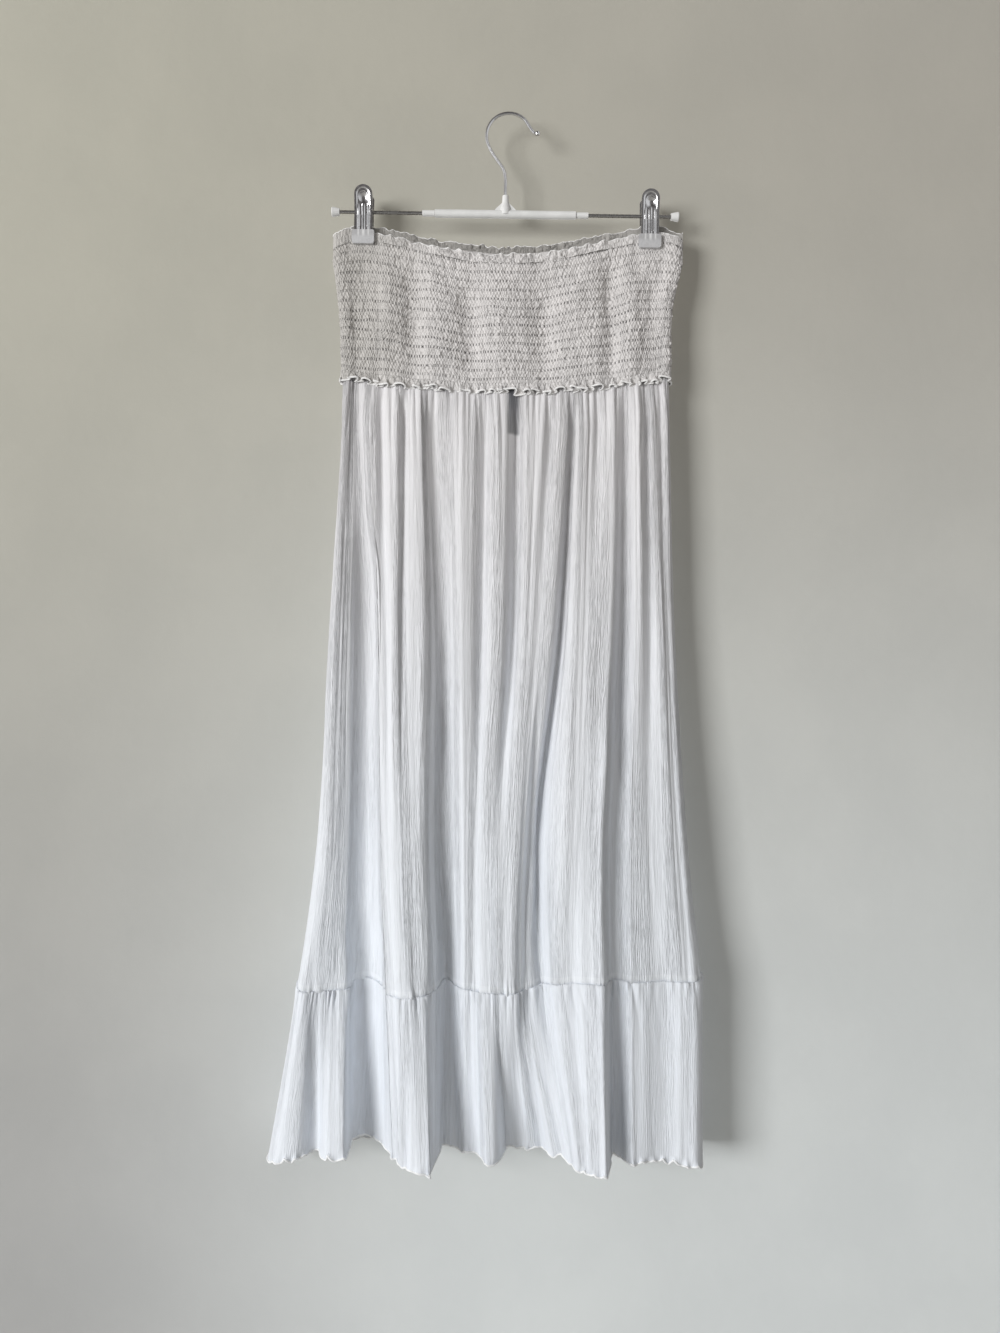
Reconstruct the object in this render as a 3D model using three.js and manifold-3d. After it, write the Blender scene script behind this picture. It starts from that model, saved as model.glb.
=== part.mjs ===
// A crinkle-cotton maxi skirt held by a clip hanger. Millimetres, +Z up, +X to the viewer's
// right, front of the skirt towards -Y. The origin is the inside of the hook's crown, where
// the hanger rests on whatever carries it.
import * as THREE from "three";
import { mergeVertices } from "three/addons/utils/BufferGeometryUtils.js";
import Module from "manifold-3d";

const wasm = await Module();
wasm.setup();

// ---- driving dimensions -------------------------------------------------------------------

const seamGap = 0.3; // clearance between pieces that meet

const cloth = { yoke: 2.4, heading: 2.0, frill: 1.3, skirt: 1.5, flounce: 1.5, label: 1.0 };

// Depths below the origin at which the fold tables give their columns.
const waistLevel = 300;
const thighLevel = 499;
const kneeLevel = 690;
const seamLevel = 821;
const hemLevel = 976;
const foldLevels = [waistLevel, thighLevel, kneeLevel, seamLevel, hemLevel];

// Depths at which the yoke tables give theirs: under the clips, middle, bottom row of shirring.
const yokeLevels = [138, 190, 252];
const yokeTopLevel = 122;

const clipOut = 3.4; // distance from the hanging plane to the cloth's face under a clip
const frillHeight = 9;
const jointDepth = 40; // length over which the skirt billows out below the yoke
const jointTuck = 0.992; // how much narrower the skirt is where it is tucked behind the frill
const sideDrop = 11; // how much lower the hem hangs at the side seams
const valleyLift = 6; // how much higher it hangs in the deepest folds
const seamLift = 6; // how much the flounce seam is drawn up in the same folds
// How much higher the flounce is sewn on than its level, across the skirt as seen from the front.
const seamRun = { at: [-185, -120, -50, 10, 60, 120, 185], rise: [-6, -4, 0, 0, 10, 8, 7] };
const valleyReach = 12; // a fold's floor nearer than this to the hanging plane is drawn up
const hemCorner = 0.8; // the hem droops outside this share of its half width
const liftCorner = 0.9; // and isn't drawn up outside this one

// The hook's wire. tip and shank are places along it: x, and z from the crown's centre at the
// tip, z from the origin down the shank. The crown's arc is given in degrees.
const hook = {
  x: -3.6,
  radius: 21.4,
  wire: 1.65,
  ball: 2.6,
  tip: [[27, 2], [24, 2.6]],
  arc: { from: 22, to: 190, step: 24 },
  shank: [[-17.6, -33], [-11.2, -43], [-5.4, -51.5], [-3.6, -59], [-3.6, -72]],
  steps: 44,
  seated: 0.6,
};
const bar = { z: -94.5, tilt: 0.86, tube: 3.8, half: 67, bore: 2.05, socket: 45 };
const rod = { radius: 1.7, reach: 42, out: 162 };
const sleeve = { inner: 2.0, outer: 2.9, length: 11.5 };
const cap = { length: 7.5, inner: 3.3, outer: 4.6, bore: 2.0, depth: 5, rim: [0.6, 0.8] };
const hub = {
  top: 2.9,
  waist: 3.4,
  base: 4.8,
  foot: -1,
  shoulder: 5,
  neck: 10,
  height: 17.5,
  bore: 1.95,
  depth: 11.5,
};
const gusset = { reach: 9.8, height: 11, thick: 2, toe: 0.6 };
const clipAt = [-134, 137]; // where the two clips sit along the bar
// A clip's sheet-metal plate. lean is its inner face from the top down: y and z from the rod.
const clip = {
  width: 17,
  sheet: 0.8,
  top: 22,
  crown: 8,
  foot: -18.8,
  tongue: 13,
  lean: [[-9.6, 22], [-5.6, 4], [-5.0, -5], [-5.2, -25.8]],
  turned: { depth: 1.2, top: 14, foot: -18.8 },
};
const dimple = { wide: 4.9, deep: 0.55, high: 5.4, z: 11.5 };
const rib = { x: 3.6, radius: 0.7, length: 11, y: -5.9, z: -10 };
const ear = { radius: 3.4, hole: 2.0, thick: 0.8, front: 7.6, back: 6.4, root: -5.4 };
const spring = { inner: 2.1, outer: 3.6, groove: 0.5, half: 5, coils: 3, crest: [0.3, 0.7] };
const pad = {
  width: 21,
  height: 13,
  thick: 3.5,
  round: 2.5,
  chamfer: 1,
  top: -19.1,
  slot: { wide: 13.6, thick: 1.6, high: 16, y: -5.55, foot: -26.1 },
};

// ---- fold tables ---------------------------------------------------------------------------
// One row per fold, left to right as seen from the panel's own side. ridge and valley are the
// places of the fold's crest and of the trough on its right, rise and floor how far each stands
// out from the hanging plane. Columns: waist, thigh, knee, flounce seam, hem. fall and climb say
// how the flanks beside the valley are shaped: above 1 they are full near the ridge, below 1 the
// ridge has a crisp edge and the valley a flat floor.

const frontFolds = [
  {
    ridge: [-154, -163, -171, -188, -205], rise: [9, 15, 19, 23, 32],
    valley: [-151, -158, -164, -176, -182], floor: [7.5, 13.5, 17.5, 19.5, 20],
  },
  {
    ridge: [-148, -150, -151, -156, -152], rise: [6, 12, 15, 17, 37],
    valley: [-144, -136, -136, -139, -146], floor: [3.5, 3.5, 3.5, 3.5, 3], fall: 1.2, climb: 0.5,
  },
  {
    ridge: [-131, -123, -119, -114, -108], rise: [13, 22, 32, 38, 34],
    valley: [-119, -114, -112, -105, -101], floor: [9, 20, 36, 45, 44],
  },
  {
    ridge: [-109, -106, -102, -97, -95], rise: [14, 26, 40, 50, 52],
    valley: [-99, -100, -96, -90, -87], floor: [6, 21, 41, 50.5, 58],
  },
  {
    ridge: [-90, -87, -86, -80, -73], rise: [14, 24, 40, 48, 61],
    valley: [-73, -64, -64, -60, -62], floor: [4, 4, 4, 4, 4], fall: 1.6, climb: 0.8,
  },
  {
    ridge: [-46, -45, -42, -41, -38], rise: [15, 22, 30, 32, 18],
    valley: [-22, -26, -31, -32, -28], floor: [5.5, 12, 30, 35, 24],
  },
  {
    ridge: [-10, -13, -22, -21, -18], rise: [14, 21, 34, 41, 42],
    valley: [7, 3, -10, -10, -5], floor: [4, 7, 35, 43, 10],
  },
  {
    ridge: [24, 16, 5, 2, 14], rise: [14, 22, 36, 44, 13],
    valley: [39, 27, 13, 10, 30], floor: [7, 20, 32, 38, 10],
  },
  {
    ridge: [49, 36, 19, 18, 46], rise: [13, 21, 22, 32, 28],
    valley: [60, 47, 25, 30, 55], floor: [4, 5, 10, 26, 40],
  },
  {
    ridge: [70, 64, 57, 54, 65], rise: [14, 27, 44, 44, 56],
    valley: [83, 76, 68, 66, 73], floor: [8, 26, 44, 49, 61],
  },
  {
    ridge: [96, 91, 80, 80, 83], rise: [13, 25, 43, 50, 62],
    valley: [109, 105, 95, 95, 96], floor: [4, 5, 10, 18, 9], fall: 1.3, climb: 0.8,
  },
  {
    ridge: [118, 117, 112, 112, 112], rise: [14, 22, 31, 37, 42],
    valley: [130, 132, 130, 134, 134], floor: [6, 14, 28, 34, 37],
  },
  {
    ridge: [136, 142, 146, 152, 152], rise: [12, 18, 28, 34, 38],
    valley: [143, 146.5, 153, 160, 160], floor: [4.8, 15, 26, 33, 36],
  },
  { ridge: [148, 150, 159, 167, 167], rise: [9, 13.5, 24, 31, 35] },
];

const backFolds = [
  {
    ridge: [-148, -150, -158, -168, -168], rise: [9, 14, 17, 18, 19],
    valley: [-138, -136, -142, -148, -146], floor: [6, 7, 8, 8, 7],
  },
  {
    ridge: [-119, -116, -118, -122, -124], rise: [12, 18, 20, 21, 22],
    valley: [-103, -99, -97, -98, -100], floor: [7, 8, 9, 9, 8],
  },
  {
    ridge: [-86, -79, -74, -72, -74], rise: [12, 19, 21, 22, 23],
    valley: [-68, -60, -53, -48, -50], floor: [6, 7, 8, 8, 8],
  },
  {
    ridge: [-50, -42, -32, -24, -24], rise: [13, 18, 21, 22, 22],
    valley: [-31, -25, -13, -2, -1], floor: [8, 10, 9, 9, 8],
  },
  {
    ridge: [-12, -5, 8, 22, 24], rise: [12, 19, 21, 21, 22],
    valley: [5, 12, 27, 44, 47], floor: [6, 7, 8, 9, 8],
  },
  {
    ridge: [24, 32, 46, 66, 70], rise: [13, 19, 21, 22, 23],
    valley: [43, 52, 66, 88, 94], floor: [7, 8, 9, 9, 8],
  },
  {
    ridge: [62, 72, 86, 110, 118], rise: [12, 18, 20, 22, 22],
    valley: [81, 92, 106, 132, 143], floor: [7, 9, 8, 9, 8],
  },
  {
    ridge: [100, 111, 126, 152, 167], rise: [12, 18, 20, 20, 21],
    valley: [118, 130, 145, 168, 188], floor: [6, 7, 8, 9, 8],
  },
  {
    ridge: [134, 147, 160, 178, 208], rise: [12, 16, 18, 17, 18],
    valley: [146, 158, 170, 186, 214], floor: [7, 9, 12, 13, 14],
  },
  { ridge: [153, 165, 176, 193, 220], rise: [8, 11, 14, 14, 15] },
];

// The yoke's soft upright waves. Columns: top, middle, bottom.
const yokeFrontFolds = [
  {
    ridge: [-161, -155, -153], rise: [4.5, 6.5, 8.5],
    valley: [-150, -146, -144], floor: [3.4, 5, 7],
  },
  {
    ridge: [-138, -134, -132], rise: [3.4, 5.2, 7.3],
    valley: [-126, -124, -124], floor: [3.4, 5, 6.8],
  },
  { ridge: [-111, -111, -112], rise: [6, 9, 9.5], valley: [-90, -90, -90], floor: [5, 6.5, 7] },
  { ridge: [-62, -62, -62], rise: [8, 10, 10], valley: [-36, -36, -35], floor: [7, 7.5, 7.5] },
  { ridge: [-2, -2, -2], rise: [10, 10.5, 10], valley: [34, 34, 34], floor: [7, 7.5, 7.5] },
  { ridge: [74, 74, 74], rise: [8, 10, 10], valley: [97, 97, 97], floor: [5, 6.5, 7] },
  {
    ridge: [112, 114, 115], rise: [4.6, 8, 9],
    valley: [121.5, 126, 128], floor: [3.4, 5.6, 7.5],
  },
  {
    ridge: [134, 134, 136], rise: [3.4, 5.2, 7.5],
    valley: [145.5, 142, 142], floor: [3.4, 5, 7],
  },
  { ridge: [156, 149, 147], rise: [4.5, 6.5, 8.5] },
];

const yokeBackFolds = [
  {
    ridge: [-156, -149, -147], rise: [4.5, 6.5, 8.5],
    valley: [-145.5, -142, -141], floor: [3.4, 5, 7],
  },
  {
    ridge: [-134, -134, -133], rise: [3.4, 5.4, 8],
    valley: [-121.5, -122, -122], floor: [3.4, 5.2, 7],
  },
  { ridge: [-98, -98, -98], rise: [5.5, 8, 9], valley: [-72, -72, -72], floor: [4.6, 6, 7] },
  { ridge: [-44, -44, -44], rise: [6.5, 8.5, 9], valley: [-16, -16, -16], floor: [5.4, 6.2, 7] },
  { ridge: [12, 12, 12], rise: [6.5, 8.5, 9], valley: [40, 40, 40], floor: [5, 6.2, 7] },
  { ridge: [70, 70, 70], rise: [6, 8.5, 9], valley: [98, 97, 97], floor: [4.6, 6, 7] },
  { ridge: [114, 114, 115], rise: [4.6, 7, 9], valley: [126, 126, 127], floor: [3.4, 5.2, 7] },
  { ridge: [138, 137, 137], rise: [3.4, 5.4, 8], valley: [150, 147, 146], floor: [3.4, 5, 7] },
  { ridge: [161, 155, 153], rise: [4.5, 6.5, 8.5] },
];

// Side seams as seen from the front, at the same levels, and how far back they lie.
const skirtEdges = { left: [-158, -171, -182, -200, -228], right: [152, 157, 168, 179, 180] };
const yokeEdges = { left: [-167, -161, -159.6], right: [165, 155, 153.6] };

// Upper and lower lines of the yoke: depth at the clips, extra dip between them, how far the
// corners outside the clips droop.
const yokeLine = {
  front: { depth: 120, dip: 24, droop: 10 },
  back: { depth: 111.5, dip: 19, droop: 12 },
};
const clipHalfSpan = 136;
const dipPower = 1.3;
const cornerShare = 0.25; // of the clips' half span, over which a corner droops by its measure
const jointLine = { depth: 245, dip: 14, span: 320 };

// The ruffles. waves and columns are along the whole row; room is how far from the clips' plane
// the cloth is free to swing; a slower wave makes the height uneven.
const ruffleRoom = 4;
const slowWave = { rate: 0.37, share: 0.1 };
const ruffles = {
  heading: { height: 9.5, wall: cloth.heading, waves: 17, columns: 62, flare: 0, swing: 2.2, start: 0.5 },
  frill: {
    height: -frillHeight,
    wall: cloth.frill,
    waves: 17,
    columns: 62,
    flare: 2,
    swing: 1.5,
    start: seamGap,
  },
};
const lettuceEnds = 8; // the wave dies over this fraction, 1 / 8, of the row at each end
const lettuceDrift = [
  { rate: 23, by: 0.012, from: 0 },
  { rate: 41, by: 0.008, from: 1 },
];

// The label's ribbon, behind the front's valley number fold, against the top rows of the body.
const label = { fold: 6, width: 12.5, length: 46, rows: 4 };

// Rows of each grid, as fractions of its height.
const yokeRows = [0, 0.12, 0.4, 0.7, 1];
const skirtRows = [0, 0.025, 0.07, 0.16, 0.28, 0.42, 0.56, 0.71, 0.86, 1];
const flounceRows = [0, 0.2, 0.45, 0.72, 1];
const ruffleRows = [0, 0.5, 1];

// ---- small helpers -------------------------------------------------------------------------

const lerp = THREE.MathUtils.lerp;

// A smooth value between the columns of a table row.
function between(levels, values, level) {
  const at = THREE.MathUtils.clamp(level, levels[0], levels[levels.length - 1]);
  return new THREE.CubicInterpolant(levels, values, 1).evaluate(at)[0];
}

// A closed three.js geometry as a manifold solid, and back.
function solid(geometry) {
  const bare = geometry.index ? geometry.toNonIndexed() : geometry.clone();
  bare.deleteAttribute("normal");
  bare.deleteAttribute("uv");
  const merged = mergeVertices(bare, 1e-4);
  return new wasm.Manifold(
    new wasm.Mesh({
      numProp: 3,
      vertProperties: merged.attributes.position.array,
      triVerts: new Uint32Array(merged.index.array),
    }),
  );
}

function geometryOf(manifold) {
  const mesh = manifold.getMesh();
  const geometry = new THREE.BufferGeometry();
  geometry.setAttribute("position", new THREE.BufferAttribute(mesh.vertProperties, 3));
  geometry.setIndex(new THREE.BufferAttribute(mesh.triVerts, 1));
  geometry.computeVertexNormals();
  return geometry;
}

function mesh(name, geometry, look) {
  const made = new THREE.Mesh(geometry, new THREE.MeshStandardMaterial(look));
  made.name = name;
  return made;
}

const looks = {
  gauze: { color: 0xe9e7e6, roughness: 0.9, metalness: 0 },
  label: { color: 0x1b1a1c, roughness: 0.8, metalness: 0 },
  chrome: { color: 0xc9ccd0, roughness: 0.15, metalness: 1 },
  steel: { color: 0x6d6f72, roughness: 0.3, metalness: 1 },
  plastic: { color: 0xe8e8e6, roughness: 0.4, metalness: 0 },
};

// ---- cloth ---------------------------------------------------------------------------------

const shoulderAlong = 0.55; // where a flank's middle point lies, from its ridge to its valley
const softFlank = 1.8; // the fullness of a flank that its row doesn't state
const turnSteps = 3;
const pointsPerFold = 4;

// The height of a flank, 1 on its ridge and 0 in its valley.
function flank(along, fullness = softFlank) {
  return Math.cos((Math.PI / 2) * along ** fullness) ** 2;
}

// One horizontal section of a panel, left to right as seen from its own side: a quarter turn in
// from the side seam, the folds, and a quarter turn out to the other seam.
function sectionAt(panel, level) {
  const at = (values) => between(panel.levels, values, level);
  const left = at(panel.edges.left);
  const right = at(panel.edges.right);
  const folds = panel.folds.map((row) => ({
    ...row,
    ridge: { x: at(row.ridge), out: at(row.rise) },
    valley: row.valley && { x: at(row.valley), out: at(row.floor) },
  }));
  const points = [];
  const middle = (ridge, valley, fullness) => ({
    x: lerp(ridge.x, valley.x, shoulderAlong),
    out: lerp(valley.out, ridge.out, flank(shoulderAlong, fullness)),
  });
  const turn = (crest, edge, angle) => ({
    x: lerp(crest.x, edge, Math.sin(angle)),
    out: lerp(panel.seamOut, crest.out, Math.cos(angle)),
  });
  const quarter = Math.PI / 2;
  const first = folds[0].ridge;
  const last = folds[folds.length - 1].ridge;
  for (let i = turnSteps; i > 0; i -= 1) points.push(turn(first, left, (quarter * i) / turnSteps));
  folds.forEach(({ ridge, valley, fall, climb }, i) => {
    points.push(ridge);
    if (!valley) return;
    points.push(middle(ridge, valley, fall));
    points.push(valley);
    points.push(middle(folds[i + 1].ridge, valley, climb));
  });
  for (let i = 1; i <= turnSteps; i += 1) points.push(turn(last, right, (quarter * i) / turnSteps));
  return points;
}

// The outward direction of a section at each of its points. It is square to the side seam at
// the two ends, so that front and back meet face to face.
function outwardOf(section) {
  return section.map((point, i) => {
    if (i === 0) return { x: -1, out: 0 };
    if (i === section.length - 1) return { x: 1, out: 0 };
    const before = section[i - 1];
    const after = section[i + 1];
    const a = new THREE.Vector2(point.x - before.x, point.out - before.out).normalize();
    const b = new THREE.Vector2(after.x - point.x, after.out - point.out).normalize();
    const along = a.clone().add(b).normalize();
    const mitre = Math.min(1 / Math.max(along.dot(a), 0.5), 1.5);
    return { x: -along.y * mitre, out: along.x * mitre };
  });
}

// Moves a section out along its own outward direction; amount is a number or one per point.
function moved(section, amount) {
  const outward = outwardOf(section);
  return section.map((point, i) => {
    const by = Array.isArray(amount) ? amount[i] : amount;
    return { x: point.x + outward[i].x * by, out: point.out + outward[i].out * by, z: point.z };
  });
}

// A cloth wall between the rows' outer sections and the same sections moved in by the wall.
function wallOf(rows, wall, side) {
  const inner = rows.map((row) => moved(row, -wall));
  const height = rows.length;
  const width = rows[0].length;
  const position = [];
  for (const face of [rows, inner]) {
    for (const row of face) {
      for (const p of row) position.push(side * p.x, -side * p.out, p.z);
    }
  }
  const outerAt = (r, c) => r * width + c;
  const innerAt = (r, c) => height * width + r * width + c;
  const index = [];
  const quad = (a, b, c, d) => index.push(a, b, c, a, c, d);
  for (let r = 0; r + 1 < height; r += 1) {
    for (let c = 0; c + 1 < width; c += 1) {
      quad(outerAt(r, c), outerAt(r + 1, c), outerAt(r + 1, c + 1), outerAt(r, c + 1));
      quad(innerAt(r, c), innerAt(r, c + 1), innerAt(r + 1, c + 1), innerAt(r + 1, c));
    }
    quad(outerAt(r, 0), innerAt(r, 0), innerAt(r + 1, 0), outerAt(r + 1, 0));
    const e = width - 1;
    quad(outerAt(r, e), outerAt(r + 1, e), innerAt(r + 1, e), innerAt(r, e));
  }
  for (let c = 0; c + 1 < width; c += 1) {
    quad(outerAt(0, c), outerAt(0, c + 1), innerAt(0, c + 1), innerAt(0, c));
    const b = height - 1;
    quad(outerAt(b, c), innerAt(b, c), innerAt(b, c + 1), outerAt(b, c + 1));
  }
  const geometry = new THREE.BufferGeometry();
  geometry.setAttribute("position", new THREE.Float32BufferAttribute(position, 3));
  geometry.setIndex(index);
  geometry.computeVertexNormals();
  return geometry;
}

// The height of the yoke's top row: lowest midway between the clips, drooping at the corners.
function yokeTop(line, x) {
  const from = Math.abs(x) / clipHalfSpan;
  const dip = from < 1 ? line.dip * Math.cos((from * Math.PI) / 2) ** dipPower : 0;
  const droop = from > 1 ? line.droop * ((from - 1) / cornerShare) ** 2 : 0;
  return -(line.depth + dip + droop);
}

function jointAt(x) {
  return -(jointLine.depth + jointLine.dip * Math.cos((x * Math.PI) / jointLine.span));
}

// The distance out of a section at x, along the straight pieces between its points.
function outAt(section, x) {
  for (let i = 1; i < section.length; i += 1) {
    const a = section[i - 1];
    const b = section[i];
    if (x >= a.x && x <= b.x && b.x > a.x) return lerp(a.out, b.out, (x - a.x) / (b.x - a.x));
  }
  return x < 0 ? section[0].out : section[section.length - 1].out;
}

function panelOf(side, tables) {
  const flip = (edges) => ({
    left: edges.right.map((x) => -x),
    right: edges.left.map((x) => -x),
  });
  const edges = side > 0 ? tables.edges : flip(tables.edges);
  return { ...tables, edges, seamOut: seamGap / 2 };
}

function yokeWall(panel, line, side) {
  const rows = yokeRows.map((v) => {
    const level = lerp(yokeTopLevel, panel.levels[2], v);
    const section = sectionAt(panel, level);
    return section.map((p) => ({ ...p, z: lerp(yokeTop(line, p.x), jointAt(p.x), v) }));
  });
  return { rows, geometry: wallOf(rows, cloth.yoke, side) };
}

// The flounce seam, drawn up a little where a fold's floor is near the hanging plane.
function seamAt(p, side) {
  const drawn = seamLift * Math.max(0, 1 - p.out / valleyReach);
  return -seamLevel + drawn + between(seamRun.at, seamRun.rise, side * p.x);
}

// The skirt body: its top row lies behind the frill, against the yoke's bottom edge, and the
// folds billow out below it.
function skirtWall(panel, yokeBottom, side) {
  const behindFrill = cloth.frill + 2 * seamGap;
  const meanJoint = jointLine.depth + jointLine.dip / 2;
  const seam = sectionAt(panel, seamLevel).map((p) => seamAt(p, side) + seamGap / 2);
  const rows = skirtRows.map((v) => {
    const level = lerp(meanJoint, seamLevel, v);
    const billow = Math.min((level - meanJoint) / jointDepth, 1);
    const section = sectionAt(panel, Math.max(level, waistLevel));
    return section.map((p, i) => {
      const atSeam = i === 0 || i === section.length - 1;
      const tucked = atSeam ? p.out : outAt(yokeBottom, p.x) - behindFrill;
      return {
        x: p.x * lerp(jointTuck, 1, billow),
        out: lerp(tucked, p.out, billow),
        z: lerp(jointAt(p.x) - seamGap, seam[i], v),
      };
    });
  });
  return { rows, geometry: wallOf(rows, cloth.skirt, side) };
}

function hemAt(p, panel) {
  const width = panel.edges.right[4] - panel.edges.left[4];
  const across = Math.abs((2 * (p.x - panel.edges.left[4])) / width - 1);
  const drop = sideDrop * Math.max(0, (across - hemCorner) / (1 - hemCorner)) ** 2;
  const lift = across < liftCorner ? valleyLift * Math.max(0, 1 - p.out / valleyReach) : 0;
  return -(hemLevel + drop) + lift;
}

function flounceWall(panel, side) {
  const hem = sectionAt(panel, hemLevel);
  const seam = sectionAt(panel, seamLevel).map((p) => seamAt(p, side) - seamGap / 2);
  const rows = flounceRows.map((v) => {
    const level = lerp(seamLevel, hemLevel, v);
    const section = sectionAt(panel, level);
    return section.map((p, i) => ({
      ...p,
      z: lerp(seam[i], hemAt(hem[i], panel), v),
    }));
  });
  return { rows, geometry: wallOf(rows, cloth.flounce, side) };
}

// Points at even steps along a row, ends kept.
function resampled(row, count) {
  const length = [0];
  for (let i = 1; i < row.length; i += 1) {
    length.push(length[i - 1] + Math.hypot(row[i].x - row[i - 1].x, row[i].out - row[i - 1].out));
  }
  const total = length[length.length - 1];
  let k = 1;
  return Array.from({ length: count + 1 }, (_, i) => {
    const at = (total * i) / count;
    while (k < row.length - 1 && length[k] < at) k += 1;
    const t = THREE.MathUtils.clamp((at - length[k - 1]) / (length[k] - length[k - 1]), 0, 1);
    const mix = (key) => lerp(row[k - 1][key], row[k][key], t);
    return { x: mix("x"), out: mix("out"), z: mix("z"), along: i / count };
  });
}

// The uneven wave of a lettuce edge, from -1 to 1, nothing at its two ends.
function lettuce(along, waves) {
  const ends = Math.min(1, lettuceEnds * Math.min(along, 1 - along));
  const drift = lettuceDrift.reduce((sum, d) => sum + d.by * Math.sin(along * d.rate + d.from), 0);
  return ends * Math.sin(2 * Math.PI * waves * (along + drift));
}

// A ruffle that grows from a row: height up (or down when negative), swing of its free edge.
function ruffleWall(row, { height, wall, waves, columns, flare, swing, start }, side) {
  const base = resampled(row, columns);
  const rows = ruffleRows.map((v) => {
    const by = base.map((p) => {
      const room = Math.min(1, Math.max(0, p.out - clipOut) / ruffleRoom);
      const wave = lettuce(p.along, waves);
      return v * (flare + swing * room * (flare ? 1 + wave : wave));
    });
    const shape = base.map((p) => {
      const reach = height * v * (1 + slowWave.share * lettuce(p.along, waves * slowWave.rate));
      return { ...p, z: p.z + Math.sign(height) * start + reach };
    });
    return moved(shape, by);
  });
  const ordered = height > 0 ? rows.reverse() : rows;
  return wallOf(ordered, wall, side);
}

// A ribbon that hangs inside a panel, behind one of its valleys.
function ribbonBehind(rows, column, wall) {
  const { width, length } = label;
  const top = rows[0][column];
  const inside = rows.slice(0, label.rows).map((row) => moved(row, -cloth.skirt)[column].out - seamGap);
  const out = Math.min(...inside);
  const ribbon = new THREE.BoxGeometry(width, wall, length);
  ribbon.translate(top.x, -(out - wall / 2), top.z + seamGap - length / 2);
  return ribbon;
}

const group = new THREE.Group();
const skirt = new THREE.Group();

for (const [name, side] of [["front", 1], ["back", -1]]) {
  const front = side > 0;
  const yokePanel = panelOf(side, {
    folds: front ? yokeFrontFolds : yokeBackFolds,
    levels: yokeLevels,
    edges: yokeEdges,
  });
  const skirtPanel = panelOf(side, {
    folds: front ? frontFolds : backFolds,
    levels: foldLevels,
    edges: skirtEdges,
  });
  const yoke = yokeWall(yokePanel, yokeLine[name], side);
  const bottom = yoke.rows[yoke.rows.length - 1];
  const body = skirtWall(skirtPanel, bottom, side);
  const flounce = flounceWall(skirtPanel, side);
  const heading = ruffleWall(yoke.rows[0], ruffles.heading, side);
  const frill = ruffleWall(bottom, ruffles.frill, side);
  skirt.add(mesh("heading_" + name, heading, looks.gauze));
  skirt.add(mesh("yoke_" + name, yoke.geometry, looks.gauze));
  skirt.add(mesh("waist_frill_" + name, frill, looks.gauze));
  skirt.add(mesh("skirt_" + name, body.geometry, looks.gauze));
  skirt.add(mesh("flounce_" + name, flounce.geometry, looks.gauze));
  if (front) {
    const valleyColumn = turnSteps + label.fold * pointsPerFold + 2;
    const ribbon = ribbonBehind(body.rows, valleyColumn, cloth.label);
    skirt.add(mesh("inner_label", ribbon, looks.label));
  }
}
group.add(skirt);

// ---- hanger --------------------------------------------------------------------------------

// The bent wire: round the crown, round the left side and down to the stem in the hub.
class HookPath extends THREE.Curve {
  constructor() {
    super();
    const crownZ = hook.wire;
    const centre = crownZ - hook.radius;
    const points = hook.tip.map(([x, z]) => new THREE.Vector3(x, 0, centre + z));
    for (let degrees = hook.arc.from; degrees <= hook.arc.to; degrees += hook.arc.step) {
      const a = THREE.MathUtils.degToRad(degrees);
      points.push(new THREE.Vector3(hook.radius * Math.cos(a), 0, centre + hook.radius * Math.sin(a)));
    }
    points.push(...hook.shank.map(([x, z]) => new THREE.Vector3(x, 0, z)));
    points.push(new THREE.Vector3(hook.x, 0, bar.z + hub.height - hub.depth + hook.seated));
    this.spline = new THREE.CatmullRomCurve3(points, false, "centripetal");
  }

  getPoint(t, target = new THREE.Vector3()) {
    return this.spline.getPoint(t, target);
  }
}

function roundShape(radius) {
  const shape = new THREE.Shape();
  shape.absarc(0, 0, radius, 0, Math.PI * 2, false);
  return shape;
}

function hookWire() {
  const path = new HookPath();
  const tube = new THREE.ExtrudeGeometry(roundShape(hook.wire), {
    steps: hook.steps,
    curveSegments: 6,
    extrudePath: path,
    bevelEnabled: false,
  });
  const tip = path.getPoint(0);
  const ball = new THREE.SphereGeometry(hook.ball, 14, 10).translate(tip.x, tip.y, tip.z);
  return geometryOf(solid(tube).add(solid(ball)));
}

function tubeAlongX(profile, segments) {
  const points = profile.map(([radius, x]) => new THREE.Vector2(radius, x));
  return new THREE.LatheGeometry(points, segments).rotateZ(-Math.PI / 2);
}

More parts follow.
